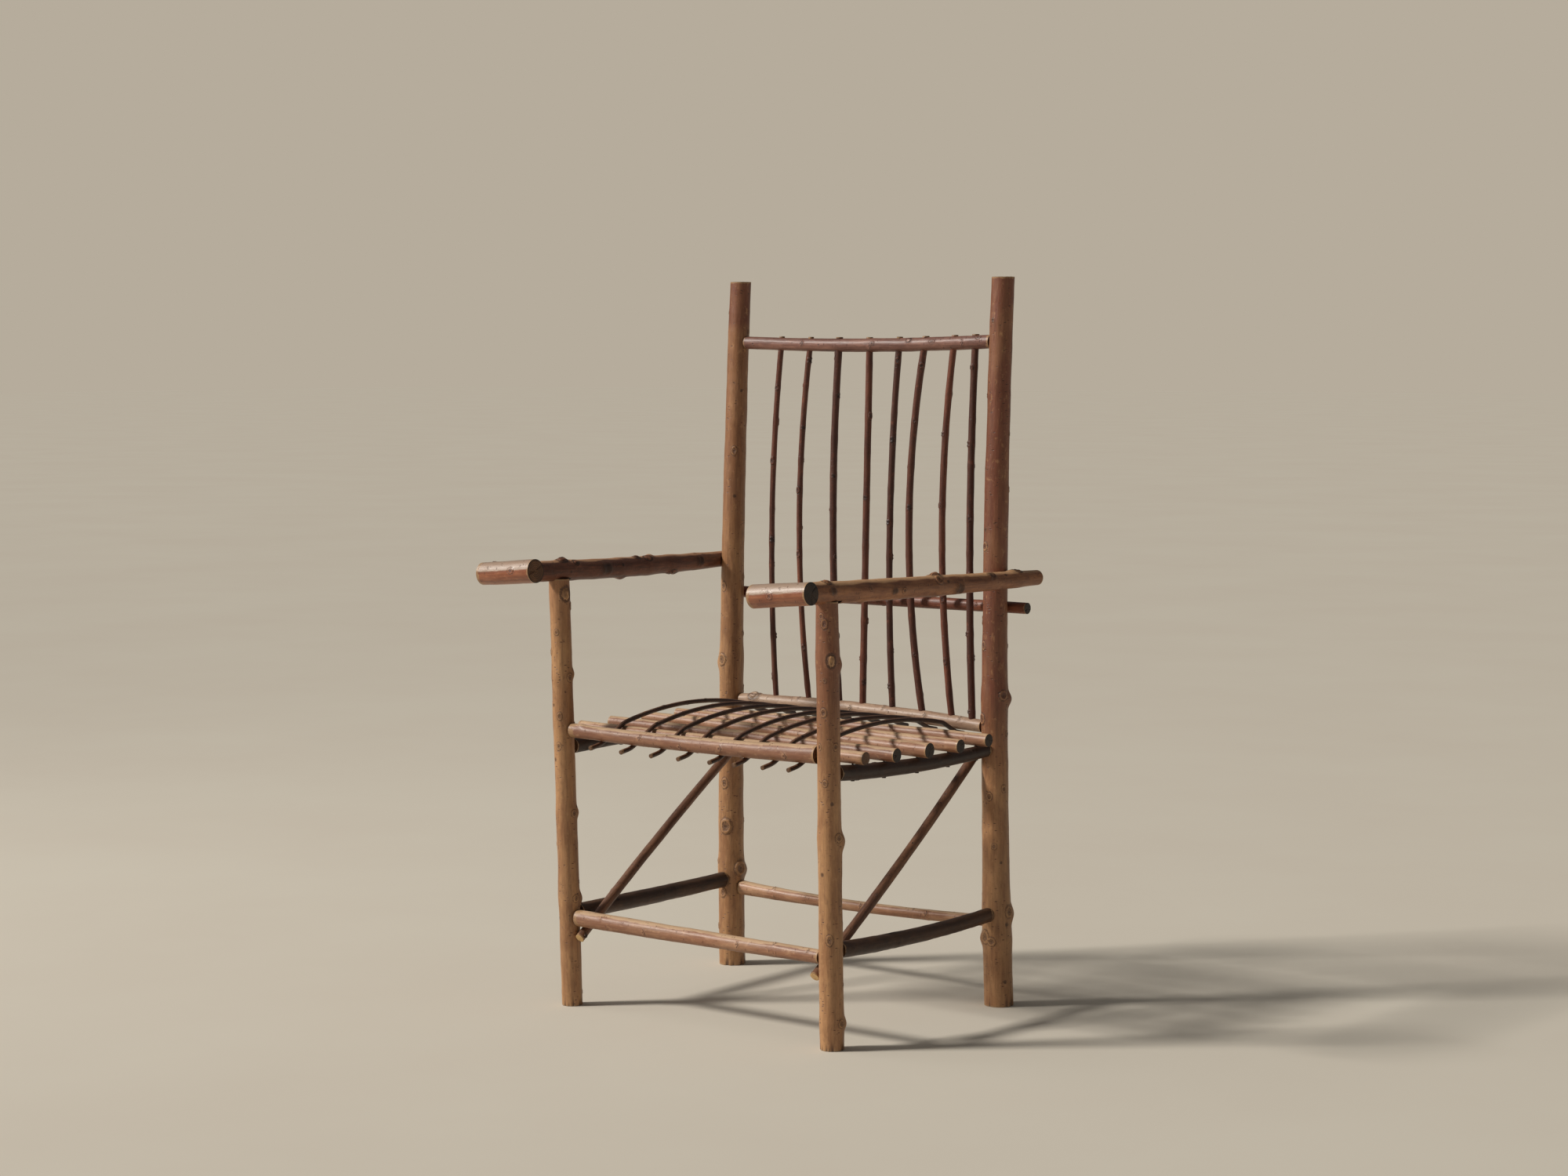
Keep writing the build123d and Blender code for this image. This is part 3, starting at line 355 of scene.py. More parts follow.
def bud_scars(name, order):
    """Small scars along a stick, each on about the other side from the one before."""
    line, draw = lines[name], np.random.default_rng(SCAR_SEED + order)
    gap = SCAR_GAP[kinds[name]["wood"]]
    scars, turn = [], draw.uniform(0, FULL_TURN)
    s = line.body[0] + gap * draw.uniform(0.3, 0.8)
    while s < line.body[1] - SCAR_END:
        middles, radii = line.at(s)
        first, second = side_directions(line.along)
        out = first * math.cos(turn) + second * math.sin(turn)
        form = "ring" if draw.random() < 0.5 else "scar"
        if name.startswith("spindle"):
            size, height = draw.uniform(3.0, 4.4), draw.uniform(0.8, 1.7)
        elif line.springy:
            size, height = draw.uniform(1.8, 2.6), draw.uniform(0.3, 0.6)
        else:
            size = float(np.clip(radii[0] / MM * draw.uniform(0.17, 0.32), 2.2, 4.6))
            height = size * draw.uniform(0.18, 0.3)
            if form == "scar":
                size, height = size * 0.6, height * 0.7
        if kinds[name]["wood"] == "pale_bark":
            form = "chevron"
        scars.append((form, tuple(Vector(middles[0]) + out * radii[0]), size, height))
        turn += math.pi + draw.uniform(-0.9, 0.9)
        s += gap * draw.uniform(0.6, 1.5)
    return scars


names = list(kinds)
for order, name in enumerate(names):
    knots[name] = knots.get(name, []) + bud_scars(name, order)
print("with bud scars,", sum(len(k) for k in knots.values()), "knots and scars")

# %% [markdown]
# ## The relief of bark
#
# Bark isn't smooth: a stick swells and thins a little along its length, and fine ridges run
# along it. Both come from a lattice of random heights wrapped round the stick, with smooth
# steps between them, so the relief meets itself without a seam. All of it cuts inwards, so
# that the skin stays inside the stick's true size. Only the knots stand proud.

# %% Wrapped noise and knot shapes
def smooth(x):
    x = np.clip(x, 0, 1)
    return x * x * (3 - 2 * x)


def turned_from(turn, angle):
    """The angle from one direction round the stick to others, from -pi to pi."""
    return np.mod(turn - angle + math.pi, FULL_TURN) - math.pi


def bell(x, width):
    return np.exp(-(x / width) ** 2)


def wrapped_noise(draw, turn, run, cells, cell_length):
    """Smooth noise from 0 to 1 that repeats after one turn round the stick."""
    rows = int((run.max() - run.min()) / cell_length) + 3
    lattice = draw.random((rows, cells))
    v = (run - run.min()) / cell_length
    u = turn / FULL_TURN * cells
    i, j = np.floor(v).astype(int), np.floor(u).astype(int)
    a, b = smooth(v - i)[:, None], smooth(u - j)[None, :]
    i, j, j2 = i[:, None], (j % cells)[None, :], ((j + 1) % cells)[None, :]
    top = lattice[i, j] * (1 - b) + lattice[i, j2] * b
    bottom = lattice[i + 1, j] * (1 - b) + lattice[i + 1, j2] * b
    return top * (1 - a) + bottom * a


def knot_shape(form, lengthways, across, ripple):
    """The height of a knot, where 1 is its full height. Both places are measured from its
    middle in half widths."""
    distance = np.hypot(lengthways, across)
    if form == "swell":
        return 1 - smooth(distance / 1.25)
    if form == "stub":
        top = 1 - smooth((distance - 0.55 - 0.08 * ripple) / 0.38)
        return 0.9 * top + 0.35 * bell(distance - 1.15, 0.3) - 0.16 * bell(distance, 0.22)
    if form == "scar":
        lips = bell(np.abs(lengthways) - 0.55 - 0.15 * ripple, 0.25) * (1 - smooth(np.abs(across) - 0.5))
        return 0.7 * lips + 0.6 * (1 - smooth(distance / 1.5)) - 0.4 * (1 - smooth(distance / 0.5))
    if form == "chevron":
        fold = bell(lengthways - 0.75 + 0.6 * np.abs(across), 0.3) * (1 - smooth(np.abs(across) - 0.8))
        return 0.75 * fold + 0.45 * (1 - smooth(distance / 1.4))
    rim = bell(distance - 0.82 - 0.1 * ripple, 0.24)
    return 0.6 * rim + 0.55 * (1 - smooth(distance / 1.6)) - 0.45 * bell(distance, 0.28)


print("relief ready")

# %% [markdown]
# ## Growing the skin
#
# The skin of a stick is a tube of four-sided faces. Its rows stand close together near a knot
# and further apart on plain bark, so the detail goes where it shows. Each row is a ring of
# points round the stick's line, pushed in or out by the relief. Both ends close with rings
# that shrink to the pith: a sawn end is nearly flat, with saw marks and a few cracks, and its
# rim is rounded over. Every point also stores where it lies on the straightened stick, where
# it lies beside its nearest knot, and how far from the pith it is. The finishes read those
# values, so the grain follows the stick round every bend.

# %% Rows along a stick
PLAIN_STEP, KNOT_STEP = 3.2 * MM, 1.15 * MM
KNOT_REACH = 1.5  # half widths of a knot on each side of it


def row_places(line, start, end, marks):
    """Places of the rows, closer together round each knot (place, half width)."""
    places, s = [start], start
    while s < end:
        near = any(abs(s - place) < KNOT_REACH * size + PLAIN_STEP for place, size in marks)
        s += KNOT_STEP if near else PLAIN_STEP * (0.75 if line.springy else 1.0)
        places.append(min(s, end))
    if len(places) > 2 and places[-1] - places[-2] < 0.4 * KNOT_STEP:
        places.pop(-2)
    return np.array(places)


print("rows stand", KNOT_STEP / MM, "mm apart by a knot and", PLAIN_STEP / MM, "mm elsewhere")

# %% Directions at each row
def row_frames(line, middles):
    """Two directions square to the stick at each row."""
    if not line.springy:
        first, second = side_directions(line.along)
        count = len(middles)
        return np.tile(first, (count, 1)), np.tile(second, (count, 1))
    slopes = np.gradient(middles, axis=0)
    slopes /= np.linalg.norm(slopes, axis=1)[:, None]
    pairs = [side_directions(Vector(s)) for s in slopes]
    return np.array([p[0] for p in pairs]), np.array([p[1] for p in pairs])


print("a straight stick keeps one frame, and a springy rod turns its frame with it")

# %% Splits in a foot
SPLIT_REACH = 26 * MM  # how far up from the floor a foot may split
SPLITS = 18


def split_foot(draw, line, places, turn, out):
    """Cuts thin splits into the relief of a foot, and tells how deep in one each point lies."""
    split = np.zeros_like(out)
    for _ in range(SPLITS):
        away = turned_from(turn, draw.uniform(0, FULL_TURN))
        rise = smooth(1 - (places - line.low) / (SPLIT_REACH * draw.uniform(0.3, 1.0)))
        crack = rise[:, None] * bell(away, 0.06)[None, :]
        out -= draw.uniform(0.5, 1.6) * MM * crack
        split = np.maximum(split, crack)
    return split


print("up to", SPLITS, "splits in each foot")

# %% Relief of one stick
RIDGE_DEPTH = {"tan_bark": 0.30, "red_bark": 0.20, "brown_bark": 0.34,
               "dark_bark": 0.22, "pale_bark": 0.24}  # millimetres
LUMP_SHARE = 0.055  # of the radius, the depth of the slow swells along a stick
COLLAR = 0.22  # of a knot's height, how far the whole stick thickens beside it
NO_KNOT = 3.0  # half widths away from any knot
KNOT_EDGE = 2.2  # half widths from its middle, where a knot's relief ends
FORM_NUMBER = {"ring": 0.0, "chevron": 1.0, "stub": 2.0, "scar": 3.0}


def relief(name, draw, line, places, turn, middles, radii, first, second):
    """How far each point of the skin moves out, in metres, its place by its nearest knot in
    half widths, how high it lies on its ridge, and how deep in a split of the foot."""
    wood = kinds[name]["wood"]
    depth = RIDGE_DEPTH[wood] * MM * min(1.0, float(np.median(radii)) / (9 * MM) + 0.25)
    cells = 20 if radii.max() > 9 * MM else 9
    lumps = wrapped_noise(draw, turn, places, 3, 0.045) - 1
    ridges = wrapped_noise(draw, turn, places, cells, 0.028) - 1
    fine = wrapped_noise(draw, turn, places, cells * 2, 0.011) - 1
    swell = LUMP_SHARE * float(np.median(radii))
    out = swell * lumps + depth * (0.7 * ridges + 0.45 * fine)
    if name.startswith("lower_side"):
        out += 0.35 * MM * (wrapped_noise(draw, turn, places, 2, 0.009) - 1)
    stands = name.startswith(("back_post", "front_leg"))
    split = split_foot(draw, line, places, turn, out) if stands else np.zeros_like(out)
    shape = np.zeros((*out.shape, 3))
    nearest = np.full_like(out, NO_KNOT)
    ripple = wrapped_noise(draw, turn, places, 14, 0.006) * 2 - 1
    for form, point, size, height in knots[name]:
        size, height = size * MM, height * MM
        s = float(np.dot(point, line.along))
        row = int(np.argmin(np.abs(places - s)))
        offset = np.array(point) - middles[row]
        angle = math.atan2(offset @ second[row], offset @ first[row])
        across = turned_from(turn, angle)[None, :] * radii[:, None] / size
        lengthways = np.repeat((places - s)[:, None] * draw.uniform(0.62, 1.0) / size, len(turn), 1)
        distance = np.hypot(lengthways, across)
        out += np.where(distance < KNOT_EDGE, knot_shape(form, lengthways, across, ripple) * height, 0)
        out += COLLAR * height * bell(lengthways, 1.7)
        if form != "swell":
            closer = distance < nearest
            number = np.full(closer.sum(), FORM_NUMBER[form])
            shape[closer] = np.stack([lengthways[closer], across[closer], number], 1)
            nearest = np.minimum(nearest, distance)
    return out, np.dstack([shape, nearest]), (ridges + fine) / 2 + 1, split


print("skin helpers ready")

# %% Sawn ends and tenons
CAP_RINGS = (0.955, 0.86, 0.72, 0.56, 0.40, 0.24, 0.10)  # shares of the way out from the pith
SAW_DEPTH = 0.03  # of the radius
TENON_SEEN = 7 * MM  # as much of a tenon as could show in a loose joint


def sawn_end(draw, rim, middle, outward, turn, drop, round_over):
    """Rings of points from the rim to the pith. Saw marks and cracks only sink inwards."""
    rings = []
    cracks = draw.uniform(0, FULL_TURN, 3)
    tilt = draw.uniform(0, FULL_TURN)
    for share in CAP_RINGS:
        points = middle + (rim - middle) * share
        marks = 0.5 + 0.5 * np.sin(share * 22 * np.cos(turn - tilt) + 5 * np.sin(turn))
        sink = drop * (0.25 * marks + 0.1 * draw.random(len(turn)))
        for crack in cracks:
            depth = 2.2 * drop * bell(turned_from(turn, crack), 0.07)
            sink += depth * smooth((share - 0.05) / 0.2) * smooth((1 - share) / 0.1)
        sink += round_over * smooth((share - 0.90) / 0.1)
        rings.append(points - outward * sink[:, None])
    return rings, middle - outward * drop * 0.8


def tenon_end(middle, ring, radius, thin, outward):
    """Rings for a square shoulder and the first stretch of a tenon."""
    tip = middle + outward * TENON_SEEN
    return [middle + ring * (radius - 0.3 * MM), middle + ring * (radius * 0.55 + thin * 0.45),
            middle + ring * thin, tip + ring * thin], tip


print(len(CAP_RINGS), "rings close each sawn end")

# %% Closing an end
BEVEL = 0.35 * MM


def close_end(line, draw, side, turn, middles, radii, ring, skin):
    """The rings and the last point that close one end of a stick: side 0 is its low end."""
    row, inner = ((0, 1), (-1, -2))[side]
    outward = np.array(line.along) * (-1, 1)[side]
    if line.springy:
        slope = middles[row] - middles[inner]
        outward = slope / np.linalg.norm(slope)
    middle, rim = middles[row] + outward * BEVEL, skin[row] + outward * BEVEL
    if line.tenon[side]:
        return tenon_end(middle, ring[row], radii[row], line.tenon[side], outward)
    return sawn_end(draw, rim, middle, outward, turn, float(radii[row]) * SAW_DEPTH, 0.15 * MM)


def tube_faces(rows, segments):
    """Four-sided faces between rings of points that lie one after another."""
    return [(i * segments + j, i * segments + k, (i + 1) * segments + k, (i + 1) * segments + j)
            for i in range(rows - 1) for j, k in ((j, (j + 1) % segments) for j in range(segments))]


def put_in_scene(name, data):
    piece = bpy.data.objects.new(name, data)
    bpy.context.scene.collection.objects.link(piece)
    return piece


print("end and tube helpers ready")

# %% Put a stick together
FADE = 4 * MM  # knots sink to nothing over the last stretch of a stick
SHARP_ANGLE, CUT_ANGLE = math.radians(48), math.radians(40)  # sharper edges stay crisp


def grow(name, order):
    """The whole skin of a stick as one closed mesh, and its place in the frame."""
    line, segments = lines[name], kinds[name]["segments"]
    draw = np.random.default_rng(SKIN_SEED + order)
    turn = np.arange(segments) * FULL_TURN / segments
    start, end = line.body
    if name.startswith("arm"):
        start = line.low
    marks = [(float(np.dot(k[1], line.along)), k[2] * MM) for k in knots[name]]
    places = row_places(line, start + BEVEL, end - BEVEL, marks)
    middles, radii = line.at(places)
    first, second = row_frames(line, middles)
    out, shape, crest, split = relief(name, draw, line, places, turn, middles, radii, first, second)
    fade = np.minimum(places - start, end - places) / FADE
    out = np.where(out > 0, out * smooth(fade)[:, None], out)
    ring = first[:, None] * np.cos(turn)[None, :, None] + second[:, None] * np.sin(turn)[None, :, None]
    skin = middles[:, None] + ring * (radii[:, None] + out)[:, :, None]

    caps = [close_end(line, draw, side, turn, middles, radii, ring, skin) for side in (0, 1)]

    points, faces = [p for row in skin for p in row], tube_faces(len(skin), segments)
    bark_faces, from_pith = len(faces), [1.0] * len(points)
    neighbours = [(j, (j + 1) % segments) for j in range(segments)]
    for side, (rings, pith) in enumerate(caps):
        last, flip = (0, (len(skin) - 1) * segments)[side], (-1, 1)[side]
        for number, circle in enumerate(rings):
            base = len(points)
            points.extend(circle)
            from_pith.extend([CAP_RINGS[number]] * segments)
            faces += [(last + j, last + k, base + k, base + j)[::flip] for j, k in neighbours]
            last = base
        faces += [(last + j, last + k, len(points))[::flip] for j, k in neighbours]
        points.append(pith)
        from_pith.append(0.0)

    mesh = bpy.data.meshes.new(name + "_stick")
    mesh.from_pydata([tuple(p) for p in points], [], faces)
    mesh.polygons.foreach_set("material_index", [int(i >= bark_faces) for i in range(len(faces))])
    mesh.polygons.foreach_set("use_smooth", [True] * len(faces))
    store_places(mesh, name, order, line, points, shape, crest, split, from_pith)
    mesh.update()
    mesh.set_sharp_from_angle(angle=SHARP_ANGLE)
    return put_in_scene(name + "_stick", mesh)


print("a stick's knots fade over its last", round(FADE / MM), "mm")

# %% Store what the finishes need
GOLDEN_SHARE = 0.618034  # its multiples spread evenly over 0 to 1


def tone_of(name, order, z):
    """How far a stick has turned from its first colour to its second at each height. Sticks
    that don't change along their length differ from one another."""
    if name == "back_post_left":
        return 0.45 * smooth((z - 0.60) / 0.20) + 0.45 * smooth((z - 1.02) / 0.03)
    if name == "back_post_right":
        return 0.15 + 0.80 * smooth((z - 0.28) / 0.25)
    if name == "front_leg_right":
        return 0.15 + 0.60 * smooth((z - 0.36) / 0.2)
    if name == "front_leg_left":
        return 0.40 * smooth((z - 0.50) / 0.15)
    return np.full_like(z, order * GOLDEN_SHARE % 1)


APART = 1.7  # metres between one stick's grain and the next one's
END_REACH = 10 * MM  # "to_end" is 1 this far from a stick's end
# how many times further the bark has chipped off each end
CHIPPED = {"lower_front_stretcher": (3.0, 1.2), "front_seat_rail": (3.0, 1.2), "top_rail": (1.0, 2.0),
           "seat_log_1": (1.5, 1.0), "hand_grip_left": (1.6, 1.0), "hand_grip_right": (1.3, 1.0)}


def store_places(mesh, name, order, line, points, shape, crest, split, shares):
    """Where each point lies on the straightened stick, and what the finish is to know."""
    points = np.array(points)
    s = points @ np.array(line.along)
    middles = line.at(s)[0]
    first, second = side_directions(line.along)
    away = points - middles
    straight = np.stack([away @ np.array(first), away @ np.array(second), s + APART * order], 1)
    rest = len(points) - crest.size
    top_side = away[:, 2] / np.maximum(np.linalg.norm(away, axis=1), 1e-6)

    def store(label, values):
        mesh.attributes.new(label, "FLOAT", "POINT").data.foreach_set("value", values.astype(np.float32))

    def store_vector(label, values):
        mesh.attributes.new(label, "FLOAT_VECTOR", "POINT").data.foreach_set(
            "vector", values.astype(np.float32).ravel())

    store_vector("on_stick", straight)
    store_vector("by_knot", np.concatenate([shape[..., :3].reshape(-1, 3), np.zeros((rest, 3))]))
    store("knot", np.r_[shape[..., 3].ravel(), np.full(rest, NO_KNOT)])
    store("crest", np.r_[crest.ravel(), np.full(rest, 0.5)])
    store("split", np.r_[split.ravel(), np.zeros(rest)])
    chips = CHIPPED.get(name, (1.0, 1.0))
    store("to_end", np.minimum((s - line.body[0]) / chips[0], (line.body[1] - s) / chips[1]) / END_REACH)
    store("from_pith", np.array(shares))
    store("tone", tone_of(name, order, points[:, 2]))
    store("top_side", top_side)


pieces = {name: grow(name, order) for order, name in enumerate(names)}
print(len(pieces), "skins,", sum(len(p.data.polygons) for p in pieces.values()), "faces")

# %% [markdown]
# ## Fitting the arms
#
# Each arm is scribed to three neighbours: its front end is hollowed to the round back of the
# hand grip, its underside has a flat for the top of the front leg, and its side is let in round
# the back post. A maker cuts those places with a gouge and a knife. Here a Boolean modifier
# cuts them with three simple cutters, and the result replaces the arm's mesh, so the cut
# faces are real wood faces with the same cut-wood finish as the arm's sawn ends.

# %% Cutters for the arms
FIT_GAP = 0.35 * MM
POST_CUT = (0.60, 0.72)  # the height of the bar that cuts an arm to its post


def cutter(name, mesh):
    mesh.polygons.foreach_set("material_index", [1] * len(mesh.polygons))
    return put_in_scene(name, mesh)


def round_cutter(name, line, low, high, extra, segments=96):
    """A smooth round bar that follows a stick's line, a little thicker than the stick."""
    places = np.linspace(low, high, 7)
    middles, radii = line.at(places)
    first, second = (np.array(v) for v in side_directions(line.along))
    turn = np.arange(segments) * FULL_TURN / segments
    ring = first * np.cos(turn)[:, None] + second * np.sin(turn)[:, None]
    points = (middles[:, None, :] + ring[None] * (radii[:, None, None] + extra)).reshape(-1, 3)
    last = (len(places) - 1) * segments
    faces = tube_faces(len(places), segments)
    faces += [tuple(range(segments))[::-1], tuple(range(last, last + segments))]
    mesh = bpy.data.meshes.new(name)
    mesh.from_pydata([tuple(p) for p in points], [], faces)
    return cutter(name, mesh)


def box_cutter(name, low, high):
    mesh = bpy.data.meshes.new(name)
    shape = bmesh.new()
    bmesh.ops.create_cube(shape, size=1, matrix=Matrix.Translation((low + high) / 2)
                          @ Matrix.Diagonal((*(high - low), 1)))
    shape.to_mesh(mesh)
    shape.free()
    return cutter(name, mesh)


print("cutters ready, with a gap of", FIT_GAP / MM, "mm")

# %% Cut the arms to their neighbours
def cut_away(piece, cutters):
    for tool in cutters:
        cut = piece.modifiers.new("cut", "BOOLEAN")
        cut.operation, cut.solver, cut.object = "DIFFERENCE", "EXACT", tool
    view = bpy.context.evaluated_depsgraph_get()
    mesh = bpy.data.meshes.new_from_object(piece.evaluated_get(view))
    piece.modifiers.clear()
    piece.data = mesh
    for tool in cutters:
        bpy.data.objects.remove(tool)


def keep_largest(mesh):
    """Deletes every island of the mesh but the largest, and tells how many islands it had."""
    loose = bmesh.new()
    loose.from_mesh(mesh)
    islands, left = [], set(loose.verts)
    while left:
        island, edge = set(), [left.pop()]
        while edge:
            vertex = edge.pop()
            island.add(vertex)
            for e in vertex.link_edges:
                other = e.other_vert(vertex)
                if other in left:
                    left.discard(other)
                    edge.append(other)
        islands.append(island)
    islands.sort(key=len)
    bmesh.ops.delete(loose, geom=[v for i in islands[:-1] for v in i], context="VERTS")
    loose.to_mesh(mesh)
    loose.free()
    return len(islands)


for side in SIDES:
    grip, post, leg = (lines[f"{part}_{side}"] for part in ("hand_grip", "back_post", "front_leg"))
    arm = pieces[f"arm_{side}"]
    wide = 30 * MM
    grip_bar = round_cutter("grip_bar", grip, grip.low - wide, grip.high + wide, FIT_GAP)
    post_bar = round_cutter("post_bar", post, *POST_CUT, FIT_GAP)
    leg_middle, leg_radius = leg.at(leg.body[1])
    top, margin = Vector(leg_middle[0]), float(leg_radius[0]) + 1 * MM
    flat = box_cutter("leg_flat", Vector((top.x - wide, top.y - margin, top.z - wide)),
                      Vector((top.x + wide, top.y + margin, leg.body[1] + FIT_GAP)))
    before = len(arm.data.polygons)
    cut_away(arm, [grip_bar, post_bar, flat])
    islands = keep_largest(arm.data)
    arm.data.polygons.foreach_set("use_smooth", [True] * len(arm.data.polygons))
    arm.data.set_sharp_from_angle(angle=CUT_ANGLE)
    print("arm", side, before, "->", len(arm.data.polygons), "faces,", islands, "islands")

# %% [markdown]
# ## The finish of bark
#
# Varnished bark has several layers of colour: broad patches that change from tan to red,
# streaks that run along the stick, small pale pores across it, and dark rims round the knots.
# All of them read the straightened position stored on the skin, squeezed along the stick for
# streaks and stretched for pores. The marks of a knot are drawn from the stored place beside
# it, so they stay sharp between the points of the skin. A thin varnish coat gives the sheen.
# One builder makes every stick's bark, because only the colours and strengths differ.

# %% Small helpers for shader nodes
def rgb(r, g, b):
    """A colour written as it looks on screen, from 0 to 255, in the renderer's units."""
    return tuple(((c / 255 + 0.055) / 1.055) ** 2.4 if c > 10 else c / 3294 for c in (r, g, b)) + (1,)


class Nodes:
    """Adds shader nodes one by one and joins them."""

    def __init__(self, name):
        self.material = bpy.data.materials.new(name)
        self.material.use_nodes = True
        self.tree = self.material.node_tree
        self.shader = self.tree.nodes["Principled BSDF"]

    def add(self, kind, **settings):
        node = self.tree.nodes.new("ShaderNode" + kind)
        for key, value in settings.items():
            setattr(node, key, value)
        return node

    def join(self, source, target):
        self.tree.links.new(source, target)

    def put(self, value, socket):
        """Joins an output to a socket, or sets the socket to a plain value."""
        if isinstance(value, (int, float, tuple)):
            socket.default_value = value
        else:
            self.join(value, socket)

    def attribute(self, name, output="Fac"):
        return self.add("Attribute", attribute_name=name).outputs[output]

    def scaled(self, vector, scale):
        mapping = self.add("Mapping")
        mapping.inputs["Scale"].default_value = scale
        self.join(vector, mapping.inputs["Vector"])
        return mapping.outputs["Vector"]

    def stretched(self, *scale):
        """The straightened position, scaled across and along the stick."""
        return self.scaled(self.attribute("on_stick", "Vector"), scale)

    def object_place(self):
        return self.add("TexCoord").outputs["Object"]

    def noise(self, vector, scale, detail=4.0, rough=0.6, distortion=0.0):
        node = self.add("TexNoise")
        for label, value in (("Scale", scale), ("Detail", detail), ("Roughness", rough),
                             ("Distortion", distortion)):
            node.inputs[label].default_value = value
        self.join(vector, node.inputs["Vector"])
        return node.outputs["Fac"]

    def steps(self, value, *stops):
        """A colour ramp through (place, colour) stops; a plain number is a grey."""
        ramp = self.add("ValToRGB")
        elements = ramp.color_ramp.elements
        while len(elements) < len(stops):
            elements.new(0.5)
        for element, (place, colour) in zip(elements, stops):
            element.position = place
            element.color = colour if isinstance(colour, tuple) else (colour,) * 3 + (1,)
        self.join(value, ramp.inputs["Fac"])
        return ramp.outputs["Color"]

    def mix(self, share, first, second):
        node = self.add("Mix", data_type="RGBA")
        for value, socket in ((share, 0), (first, 6), (second, 7)):
            self.put(value, node.inputs[socket])
        return node.outputs[2]

    def maths(self, operation, *values):
        node = self.add("Math", operation=operation)
        for value, socket in zip(values, node.inputs):
            self.put(value, socket)
        return node.outputs[0]

    def bump(self, height, distance, strength=1.0, after=None):
        node = self.add("Bump")
        node.inputs["Strength"].default_value = strength
        node.inputs["Distance"].default_value = distance
        self.join(height, node.inputs["Height"])
        if after is not None:
            self.join(after, node.inputs["Normal"])
        return node.outputs["Normal"]


print("node helpers ready")

# %% The marks of a knot
def knot_marks(n):
    """Masks of the dark lines of a knot, of its pale rim, a painted highlight on the raised collar, and of
    the sawn face of a stub.
    """
    apart = n.add("SeparateXYZ")
    n.join(n.attribute("by_knot", "Vector"), apart.inputs[0])
    along, across, form = apart.outputs
    wobble = n.noise(n.stretched(1, 1, 1), 420, 3)
    distance = n.maths("ADD", n.attribute("knot"), n.maths("MULTIPLY_ADD", wobble, 0.8, -0.4))
    half = n.maths("MULTIPLY", distance, 0.5)
    rings = n.steps(half, (0.0, 1.0), (0.10, 0.95), (0.17, 0.25), (0.26, 0.85), (0.33, 0.10),
                    (0.48, 0.08), (0.56, 0.80), (0.66, 0.0))
    side = n.maths("ABSOLUTE", across)
    bent = n.maths("MULTIPLY_ADD", side, 0.6, along)
    fold = n.maths("ABSOLUTE", n.maths("ADD", bent, n.maths("MULTIPLY_ADD", wobble, 0.3, -0.90)))
    reach = n.steps(n.maths("MULTIPLY", side, 0.5), (0.50, 1.0), (0.75, 0.0))
    line = n.maths("MULTIPLY", n.steps(fold, (0.07, 1.0), (0.20, 0.0)), reach)
    line = n.maths("MULTIPLY", line, n.steps(half, (0.62, 1.0), (0.74, 0.0)))
    folds = n.maths("MAXIMUM", line, n.steps(half, (0.0, 1.0), (0.10, 0.8), (0.2, 0.0)))
    stub = n.steps(half, (0.44, 0.0), (0.48, 1.0), (0.60, 0.9), (0.72, 0.0))
    is_fold, is_stub, is_scar = (
        n.maths("COMPARE", form, FORM_NUMBER[word], 0.5) for word in ("chevron", "stub", "scar"))
    wound = n.steps(half, (0.26, 1.0), (0.44, 0.75), (0.62, 0.0))
    dark = n.mix(is_scar, n.mix(is_stub, n.mix(is_fold, rings, folds), stub), wound)
    # The pale rim is a painted highlight on the knot's raised collar.
    rim = n.steps(half, (0.30, 0.0), (0.40, 0.7), (0.48, 0.5), (0.54, 0.0))
    face = n.maths("MULTIPLY", is_stub, n.steps(half, (0.40, 1.0), (0.45, 0.0)))
    return dark, rim, face


print("knots are drawn in", len(FORM_NUMBER), "forms")

# %% The bark builder
NEARLY_BLACK = (0.004, 0.002, 0.002, 1)
BARE_SHARE = 0.7  # how far a chipped end shows the wood under its bark


